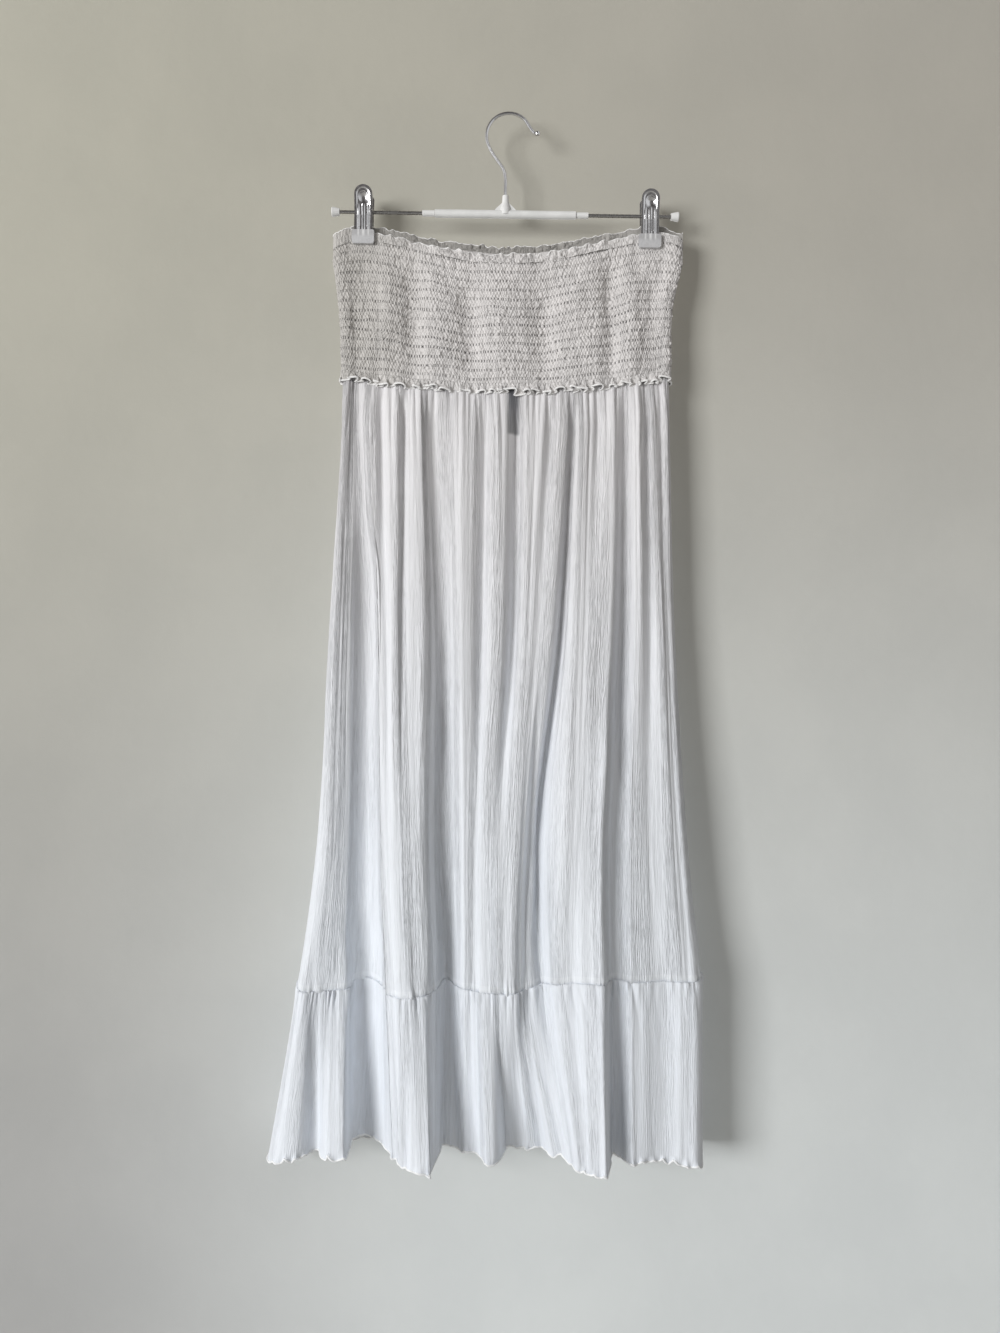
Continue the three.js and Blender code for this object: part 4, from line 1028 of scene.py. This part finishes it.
def unevenPhase(along, waves, seed, spread=0.42):  # waves of uneven width, and each one's strength
    rng = np.random.default_rng(seed)
    widths = rng.uniform(1 - spread, 1 + spread, waves)
    knots = np.concatenate([[0], np.cumsum(widths)]) / widths.sum() * along[-1]
    phase = np.interp(along, knots, np.arange(waves + 1))
    padded = np.pad(phase, 6, mode="reflect", reflect_type="odd")
    smoothPhase = np.convolve(padded, np.ones(13) / 13, "valid")
    strength = rng.uniform(0.55, 1.25, waves + 2)
    return smoothPhase, np.interp(smoothPhase, np.arange(waves + 2), strength)


def ruffle(kind, name, side, outer, edgeRow, sizes, flatPlace, paints):
    # A ruffle's shell with its painted points, and the bead along its free edge.
    inner = moved(outer, -sizes["wall"] * np.ones_like(outer["x"]))
    title = f"{kind}{name.capitalize()}"
    piece = clothMesh(f"{title}Cloth", outer, inner, side, headingGauze, 1, flatPlace)
    for label, values, inside in paints:
        paintPoints(piece, label, values, inside)
    return piece, rolledEdgeOf(f"{title}Edge", outer, edgeRow, side, sizes["wall"] / 2, sizes["bead"])


def makeHeading(name, side, base):
    row, along = rowOf(base, 0, headingSet["spacing"])
    phase, strength = unevenPhase(along, headingSet["waves"], 41 + side)
    v = np.linspace(0, 1, headingSet["rows"])[::-1][:, None]
    across, level = along[None, :] + 0 * v, 0 * along[None, :] + v
    room = np.clip((row["out"][None, :] - clipOut) / 4, 0, 1)
    wave = np.sin(2 * np.pi * phase)[None, :] * strength[None, :]
    pleat = np.abs(np.sin(np.pi * along[None, :] / shirring["pitch"] + 2 * wave))
    nibble = ripple(across, level, 3.4, 2.5, 77 + side)
    lift = headingSet["height"] * (0.88 + 0.10 * wave * v + 0.08 * nibble * v)
    if side > 0:
        lift = lift + headingSet["corner"] * smoothStep(-138, -155, row["x"])[None, :]
    z = row["z"][None, :] - headingSet["sink"] + lift * v
    curl = ripple(across, level, 9, 1.4, 83 + side) * headingSet["curl"]
    crumb = headingSet["crumb"] * ripple(across, level * 9.3, 2.4, 2.2, 87 + side)
    out = headingSet["swing"] * wave * v**0.8 + headingSet["pleat"] * pleat * (1 - 0.7 * v)
    out = out + curl * v + crumb
    amount = out * (0.2 + 0.8 * room) * offSides(along, 8)
    grid = dict(x=row["x"][None, :] + 0 * z, out=row["out"][None, :] + 0 * z, z=z)
    pressed = pressedAt(row["x"], row["z"], side)[None, :]
    amount = amount + headingSet["proud"] * (1 - v) * (1 - pressed)
    outer = moved(grid, amount - headingSet["pressedIn"] * (1 - v) * pressed - 0.1)
    return ruffle("heading", name, side, outer, 0, headingSet, (across * headingSet["stretch"], z), [
        ("row", -0.165 - 0.65 * v + 0.08 * ripple(across, level, 20, 1.3, 89), 0.0),
        ("stitch", stitchesAt(across, level, 90), 0.0),
        # the inside faces get the full painted shade
        ("inside", np.zeros_like(z), 1.0),
    ])


def makeFrill(name, side, base):
    # Each column swings out by a tilt of its own, which keeps its length, and is then pushed
    # sideways, so that the edge curls into small loops.
    row, along = rowOf(base, -1, frillSet["spacing"])
    phase, strength = unevenPhase(along, frillSet["waves"], 51 + side, frillSet["spread"])
    v = np.linspace(0, 1, frillSet["rows"])[:, None]
    across, level = along[None, :] + 0 * v, 0 * along[None, :] + v
    ends = offSides(along, 9)
    turn = 2 * np.pi * phase[None, :]
    grow = strength[None, :] * ends
    tilt = frillSet["tilt"] * ends + frillSet["swing"] * grow * np.sin(turn)
    tilt = np.clip(tilt + 0.16 * np.sin(2.3 * turn + 1.0) * ends, -0.12, 1.5) * v**0.55
    uneven = 0.15 * ripple(across, level, 8, 3.0, 57 + side) - 0.13 * np.sin(turn + 0.8) * grow
    long = frillSet["height"] * v * (1 + uneven)
    pleat = frillSet["pleat"] * np.abs(np.sin(np.pi * along / shirring["pitch"]))[None, :]
    crumb = frillSet["crumb"] * ripple(across, level * 9, 2.5, 2.4, 59 + side)
    out = long * np.sin(tilt) + (pleat * (1 - v) + crumb) * ends + 0.25 + 0.6 * ends * (1 - v)
    drop = long * np.cos(tilt) * (1 + frillSet["rise"] / frillSet["height"])
    start = row["z"][None, :] - frillSet["sink"] + frillSet["rise"] * ends
    grid = dict(x=row["x"][None, :] + 0 * v, out=row["out"][None, :] + 0 * v, z=start - drop)
    outer = moved(grid, out)
    outer["x"] = outer["x"] - frillSet["loop"] * v * grow * np.sin(2 * turn)
    return ruffle("waistFrill", name, side, outer, -1, frillSet, (across * frillSet["stretch"], grid["z"]), [
        # the frill's inside faces get only a little painted shade
        ("inside", np.zeros_like(across), 0.05),
        ("row", 13.25 + 0.5 * v + 0.06 * ripple(across, level, 9, 1.3, 63), 0.0),
        ("stitch", stitchesAt(across, level, 64), 0.0),
    ])


# Skirt body

bodySet = dict(
    wall=1.2, footWall=0.3, spacing=dict(front=1.18, back=1.5), rows=dict(front=118, back=96),
    gatherPitch=6.6, gatherDepth=0.95, gatherFade=60, overlap=0.9, creases=0.8, crumple=0.7, tuck=0.5,
    doubled=0.2, sink=0.3,
)

# Creases: where on the joint, width, depth and length down the cloth, in
# millimetres. A depth below 0 is a trough, above 0 a ridge.
frontCreases = [
    (-147, 3.4, -2.2, 150), (-137, 2.2, 1.6, 120), (-121, 3.2, -2.6, 210), (-110, 1.6, -1.6, 100),
    (-104, 2.4, 1.4, 180), (-93, 1.3, -1.7, 140), (-84, 2.2, 1.3, 260), (-70, 2.0, -2.4, 70),
    (-64, 1.7, 2.0, 60), (-57, 1.5, -2.2, 170), (-44, 2.8, 1.3, 320), (-37, 1.2, -1.3, 110),
    (-22, 2.2, -1.7, 150), (-10, 2.4, 1.3, 120), (10, 1.6, -2.2, 200), (17, 1.7, 1.7, 120),
    (25, 1.8, -2.0, 240), (33, 2.2, 1.2, 90), (44, 1.4, -1.8, 130), (53, 2.8, -1.5, 170),
    (63, 2.0, 1.5, 120), (76, 1.6, -2.1, 260), (87, 2.3, -1.5, 90), (99, 2.2, 1.5, 200),
    (109, 1.6, -2.0, 150), (121, 1.9, 1.6, 280), (129, 1.4, -1.7, 120), (139, 2.4, -2.0, 190),
]
backCreases = [
    (-140, 2.6, -2.0, 170), (-126, 1.8, 1.5, 120), (-110, 2.4, -2.2, 210), (-93, 1.5, -1.7, 120),
    (-80, 2.3, 1.4, 240), (-62, 1.8, -2.1, 130), (-46, 2.0, 1.5, 170), (-30, 1.6, -1.9, 220),
    (-16, 2.4, 1.3, 90), (-2, 1.5, -2.0, 160), (13, 2.0, 1.5, 210), (29, 1.9, -2.1, 130),
    (45, 2.4, 1.3, 260), (58, 1.5, -1.8, 110), (72, 2.2, -1.6, 190), (88, 1.8, 1.6, 140),
    (103, 1.6, -2.0, 230), (119, 2.2, 1.4, 120), (134, 2.3, -1.9, 180),
]


def pleats(phase, lowest):
    return np.abs(np.sin(np.pi * phase)) ** 0.7 * 1.5 - lowest


def gathers(joint, down, across, seed):  # small pleats that start at the joint and fade out below it
    wander = 0.55 * ripple(across, down, 34, 90, seed) + 0.35 * np.sin(joint[None, :] / 23)
    phase = joint[None, :] / bodySet["gatherPitch"] + wander
    uneven = 1 + 0.45 * ripple(across, down, 22, 60, seed + 1)
    fade = np.exp(-down / bodySet["gatherFade"]) * smoothStep(-1, 7, down) + 0.05 * np.exp(-down / 250)
    return bodySet["gatherDepth"] * fade * uneven * pleats(phase, 0.9)


def creases(table, joint, down):
    total = np.zeros_like(down)
    for at, width, depth, length in table:
        shape = np.exp(-(((joint - at) / width) ** 2))[None, :]
        total += depth * shape * np.exp(-((down / length) ** 2)) * smoothStep(-2, 6, down)
    return total


def crumple(across, z, strength, seed):  # the cloth's own uneven crinkle at the finer scales
    lively = np.clip(0.62 + 0.55 * ripple(across, z, 19, 95, seed + 3), 0.15, 1.6)
    return strength * (
        0.16 * ripple(across, z, 12, 130, seed) + 0.17 * ripple(across, z, 5.6, 60, seed + 1)
        + 0.24 * lively * ripple(across, z, 2.5, 46, seed + 2)
    )


def puckers(across, away, seed):  # small pleats that the seam draws in, above and below it
    uneven = np.clip(0.8 + 0.7 * ripple(across, 0 * away, 13, 1, seed), 0, 2)
    return 0.75 * uneven * ripple(across, away, 2.7, 22, seed + 1) * np.exp(-((away / 11) ** 2))


def seamAt(x, out, side):  # the flounce seam, drawn up a little in the valleys
    drawn = seamLift * np.maximum(0, 1 - out / valleyReach)
    return -seamLevel + drawn + smoothBetween(seamRun["at"], seamRun["rise"], side * x)


# Broad folds lower down the front. path: across and height, from the top down;
# widths to its left and its right; depth below 0 is a trough. All in millimetres.
lowFolds = [
    dict(path=[(-138, -430), (-143, -665), (-144, -785)], widths=(10, 20), depth=-7.0),
    dict(path=[(-141, -800), (-138, -1040)], widths=(7, 28), depth=-8.5),
    dict(path=[(-182.5, -830), (-180.6, -1040)], widths=(6, 6), depth=-3.4),
    dict(path=[(-71.5, -835), (-70, -1040)], widths=(8, 7), depth=-3.2),
    dict(path=[(-8, -890), (-6, -1040)], widths=(7, 6), depth=3.0),
    dict(path=[(7, -880), (8, -1040)], widths=(7, 7), depth=-3.2),
    dict(path=[(26, -690), (19, -739), (13.5, -800)], widths=(5, 5), depth=2.0),
    dict(path=[(143, -820), (144, -1040)], widths=(7, 8), depth=-3.0),
    dict(path=[(169, -810), (171, -1040)], widths=(12, 10), depth=3.6),
    dict(
        path=[
            (-114.5, -400), (-116.3, -573), (-115, -739), (-112.7, -785),
            (-110, -849), (-108, -904), (-107, -1040),
        ],
        widths=(4, 4), depth=1.5,
    ),
]

# The same, for valleys that the thin cloth doesn't fall into: these move the floor straight out.
valleyFills = [
    dict(path=[(96, -610), (95, -700), (95, -860), (96, -1040)], widths=(11, 12), depth=14.0),
    dict(path=[(-64, -640), (-61, -800), (-61, -1040)], widths=(10, 11), depth=9.0),
]


def lowRelief(x, z, side, table=lowFolds):
    total = np.zeros_like(x)
    for low in table if side > 0 else []:
        places, levels = np.array(low["path"][::-1]).T
        apart = x - np.interp(z, levels, places)
        width = np.where(apart < 0, *low["widths"])
        bottom = smoothStep(levels[0] - 30, levels[0] + 15, z)
        top = smoothStep(levels[-1] + 60, levels[-1] - 20, z)
        total += low["depth"] * np.exp(-((apart / width) ** 2)) * (bottom * top)
    return total


def skirtPanel(side):
    return panelOf(side, frontFolds if side > 0 else backFolds, foldLevels, skirtEdges)


def makeBody(name, side, yokeBase):
    meanJoint = jointLine["depth"] + jointLine["dip"] / 2
    v = np.linspace(0, 1, bodySet["rows"][name]) ** 1.12
    levels = meanJoint + (seamLevel - meanJoint) * v
    x, out, flat = foldedRows(skirtPanel(side), np.maximum(levels, waistLevel), bodySet["spacing"][name])
    billow = np.minimum((levels - meanJoint) / jointDepth, 1)[:, None]
    tucked = np.interp(x, yokeBase["x"][-1], yokeBase["out"][-1]) - behindFrill
    tucked[:, 0], tucked[:, -1] = out[:, 0], out[:, -1]
    startOut = np.maximum(tucked, out.min(axis=1)[:, None])
    seam = seamAt(x[-1], out[-1], side)[None, :] - bodySet["overlap"]
    z = (jointAt(x) - bodySet["sink"]) * (1 - v[:, None]) + seam * v[:, None]
    base = dict(x=x * (jointTuck * (1 - billow) + billow), out=startOut * (1 - billow) + out * billow, z=z)
    base["out"] = base["out"] + lowRelief(base["x"], z, side, valleyFills)
    joint, across, toSeam = x[0], flat[None, :] + 0 * z, z - seam
    down = jointAt(x) - frillHeight + 5 - z
    table = frontCreases if side > 0 else backCreases
    relief = gathers(joint, down, across, 61 + side) + creases(table, joint, down) * bodySet["creases"]
    relief += lowRelief(base["x"], z, side)
    relief += crumple(across, z, bodySet["crumple"], 71 + side) * smoothStep(-1, 9, toSeam)
    relief = relief + puckers(across, toSeam, 81 + side) + bodySet["doubled"] * smoothStep(7.6, 6.2, toSeam)
    relief = relief * smoothStep(-frillHeight + 2, 4, down) - 0.3 * (1 - billow)
    relief *= offSides(flat, 6)
    relief[-1] -= bodySet["tuck"]  # behind the flounce
    outer, inner = wallOf(base, relief, bodySet["wall"], bodySet["footWall"])
    title = f"skirt{name.capitalize()}Cloth"
    piece = clothMesh(title, outer, inner, side, bodyGauze[side], innerStep, (across, z))
    paintPoints(piece, "toSeam", toSeam * mm, inside=1.0)
    return piece


# Flounce

flounceSet = dict(
    wall=1.2, hemWall=0.8, spacing=dict(front=1.25, back=1.6), rows=dict(front=52, back=40),
    gatherPitch=11.0, gatherDepth=1.1, gatherFade=24, crumple=0.30, lip=0.45, overlap=0.5,
    scallop=11.0, scallopReach=8, flare=1.5, dip=2.4, curl=1.5, beadIn=0.35, bead=1.0,
)


def hemAt(panel, x, out):
    left, right = panel["left"][-1], panel["right"][-1]
    across = np.abs(2 * (x - left) / (right - left) - 1)
    drop = sideDrop * np.maximum(0, (across - 0.8) / 0.2) ** 2
    lift = valleyLift * np.maximum(0, 1 - out / valleyReach) * (1 - smoothStep(0.86, 0.92, across))
    return -(hemLevel + drop) + lift


def facingAlong(x, out):  # how squarely the cloth faces out, and a length that counts flanks less
    across, length = np.abs(np.diff(x)), np.hypot(np.diff(x), np.diff(out))
    facing = np.convolve(np.pad(across / length, 4, mode="edge"), np.ones(9) / 9, "valid")
    along = np.concatenate([[0], np.cumsum(length * (0.15 + 0.85 * facing))])
    return np.concatenate([facing[:1], facing]), along


def makeFlounce(name, side):
    panel = skirtPanel(side)
    even = np.linspace(0, 1, flounceSet["rows"][name])
    v = even - 0.45 * np.sin(2 * np.pi * even) / (2 * np.pi)  # rows closer at the seam and the hem
    levels = seamLevel + (hemLevel - seamLevel) * v
    x, out, flat = foldedRows(panel, levels, flounceSet["spacing"][name])
    hem = hemAt(panel, x[-1], out[-1])[None, :]
    seam = seamAt(x[0], out[0], side)[None, :] + flounceSet["overlap"]
    z = seam * (1 - v[:, None]) + hem * v[:, None]
    base = dict(x=x, out=out + lowRelief(x, z, side, valleyFills), z=z)
    across, down = flat[None, :] + 0 * z, seam - z
    phase = across / flounceSet["gatherPitch"] + 0.5 * ripple(across, down, 45, 60, 91 + side)
    uneven = 1 + 0.45 * ripple(across, down, 24, 50, 93 + side)
    fade = np.exp(-down / flounceSet["gatherFade"]) * smoothStep(-0.5, 2.5, down)
    relief = flounceSet["gatherDepth"] * fade * uneven * pleats(phase, 0.3)
    relief += crumple(across, z, flounceSet["crumple"], 97 + side) * smoothStep(0, 8, down)
    relief = relief + puckers(across, down, 81 + side) + lowRelief(x, z, side)
    relief += flounceSet["lip"] * np.exp(-down / 2.5)
    facing, hemAlong = facingAlong(x[-1], out[-1])
    wavePhase, strength = unevenPhase(hemAlong, int(hemAlong[-1] / flounceSet["scallop"]), 99 + side)
    strength = strength * (0.25 + 0.75 * facing)
    lobes = np.abs(np.sin(np.pi * wavePhase)) ** 0.65
    wave = ((1.6 * lobes - 1.0) * strength)[None, :]
    swing = (np.sin(2 * np.pi * wavePhase + 0.9) * strength)[None, :]
    near = 1 - smoothStep(0, flounceSet["scallopReach"], z - hem)
    ends = offSides(flat, 6)
    relief = (relief + flounceSet["flare"] * swing * near**1.5) * ends
    curls = flounceSet["curl"] * ripple(hemAlong[None, :] + 0 * z, 0 * z, 5.2, 2, 95 + side) * facing
    base["z"] = z - (flounceSet["dip"] * wave + curls) * near * ends
    outer, inner = wallOf(base, relief, flounceSet["wall"], flounceSet["hemWall"])
    title = f"flounce{name.capitalize()}"
    piece = clothMesh(f"{title}Cloth", outer, inner, side, flounceGauze, innerStep, (across, base["z"]))
    bead = rolledEdgeOf(f"{title}Edge", outer, -1, side, flounceSet["beadIn"], flounceSet["bead"])
    return piece, bead


# Build the cloth

flatSizes = dict(
    yoke=dict(front=(0.36, 0.115), back=(0.36, 0.115)),
    heading=dict(front=(0.36, 0.012), back=(0.36, 0.012)),
    waistFrill=dict(front=(0.42, 0.012), back=(0.42, 0.012)),
    skirt=dict(front=(0.60, 0.575), back=(0.50, 0.575)),
    flounce=dict(front=(0.80, 0.160), back=(0.60, 0.160)),
)


def declare(piece, kind, name, node, beads=()):
    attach(piece, "root")
    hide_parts(node)
    for bead in beads:
        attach(bead, "root")
    mesh = piece.data
    areas = np.zeros(len(mesh.polygons))
    mesh.polygons.foreach_get("area", areas)
    width, length = flatSizes[kind][name]
    shown = f"one side {areas.sum() / 2:.4f} m2, flat {width * length:.4f}"
    print(f"{piece.name}: {len(mesh.polygons)} faces, {shown}")


for name, side in (("front", 1), ("back", -1)):
    yoke, yokeBase = makeYoke(name, side)
    declare(yoke, "yoke", name, f"yoke_{name}")
    heading, headingBead = makeHeading(name, side, yokeBase)
    declare(heading, "heading", name, f"heading_{name}", [headingBead])
    frill, frillBead = makeFrill(name, side, yokeBase)
    declare(frill, "waistFrill", name, f"waist_frill_{name}", [frillBead])
    body = makeBody(name, side, yokeBase)
    declare(body, "skirt", name, f"skirt_{name}")
    flounce, flounceBead = makeFlounce(name, side)
    declare(flounce, "flounce", name, f"flounce_{name}", [flounceBead])
    print(f"{name} cloth")

# Hanger finishes

finishSet = dict(
    chrome=dict(tone=(0.70, 0.69, 0.69, 1), metal=1.0, rough=(0.19, 0.26), scale=300.0, relief=0.00001),
    steel=dict(tone=(0.50, 0.49, 0.48, 1), metal=1.0, rough=(0.24, 0.30), scale=160.0, relief=0.000006),
    whitePlastic=dict(tone=(0.82, 0.82, 0.81, 1), metal=0.0, rough=(0.30, 0.42), scale=600.0, relief=4e-5),
    padPlastic=dict(tone=(0.56, 0.56, 0.57, 1), metal=0.0, rough=(0.22, 0.34), scale=450.0, relief=4e-5),
    ribbon=dict(tone=(0.015, 0.015, 0.017, 1), metal=0.0, rough=(0.55, 0.75), scale=1500.0, relief=8e-5),
)
broadMottle = dict(scale=60.0, duller=0.88)


def finishMaterial(name, look):
    material, tree, shader = newMaterial(name)
    place = objectPlace(tree)
    low, high = look["rough"]
    mottle = useGroup(tree, grain, Place=place, Scale=look["scale"], Low=low, High=high)
    broad = useGroup(tree, grain, Place=place, Scale=broadMottle["scale"], Low=0.0, High=1.0)
    dull = tuple(c * broadMottle["duller"] for c in look["tone"][:3]) + (1,)
    fill(tree, shader, {
        "Base Color": mixColour(tree, broad["Value"], look["tone"], dull),
        "Roughness": mottle["Value"], "Metallic": look["metal"],
        "Normal": bumpNode(tree, mottle["Height"], 0.4, look["relief"]),
    })
    return material


def pressedMaterial(end, look, onPad):  # a plate's relief, which also shows through its pad
    material = finishMaterial(f"{end}{'Pad' if onPad else 'Plate'}", look)
    tree, shader = material.node_tree, material.node_tree.nodes["Principled BSDF"]
    low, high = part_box(f"clip_{end}_front_plate")
    place = objectPlace(tree)
    sizes = {"Middle X": (low.x + high.x) / 2, "Crown Z": high.z, "Half Width": pressSet["halfWidth"]}
    press = useGroup(tree, pressedPlate, Place=place, **sizes)
    if not onPad:
        under = shader.inputs["Normal"].links[0].from_socket
        fill(tree, shader, {"Normal": bumpNode(tree, press["Height"], 1.0, pressSet["depth"], Normal=under)})
        return material
    # Painted light on the pad: the plate behind painted as shade, its ribs painted as highlights.
    start, whole = pressSet["cover"]
    covered = rangeNode(tree, axesOf(tree, place)["Z"], low.z + start, low.z + whole)
    tone = shader.inputs["Base Color"].links[0].from_socket
    tone = mixColour(tree, times(tree, covered, pressSet["dimmed"]), tone, pressSet["dim"])
    shown = times(tree, press["Rib"], covered, pressSet["shown"])
    fill(tree, shader, {"Base Color": mixColour(tree, shown, tone, pressSet["lit"])})
    return material


finishes = {name: finishMaterial(name, look) for name, look in finishSet.items()}
for end in ("left", "right"):
    finishes[f"{end}Plate"] = pressedMaterial(end, finishSet["chrome"], False)
    finishes[f"{end}Pad"] = pressedMaterial(end, finishSet["padPlastic"], True)
nodeFinish = {
    "hook_wire": "chrome", "spring": "steel", "rod": "steel", "hanger_bar": "whitePlastic",
    "sleeve": "whitePlastic", "end_cap": "whitePlastic", "inner_label": "ribbon",
}
for end in ("left", "right"):
    for face in ("front", "back"):
        nodeFinish[f"{end}_{face}_plate"] = f"{end}Plate"
        nodeFinish[f"{end}_{face}_pad"] = f"{end}Pad"
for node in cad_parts:
    for word, finish in nodeFinish.items():
        if word in node:
            part = bpy.data.objects[node]
            part.data.materials.clear()
            part.data.materials.append(finishes[finish])
print("hanger finishes")
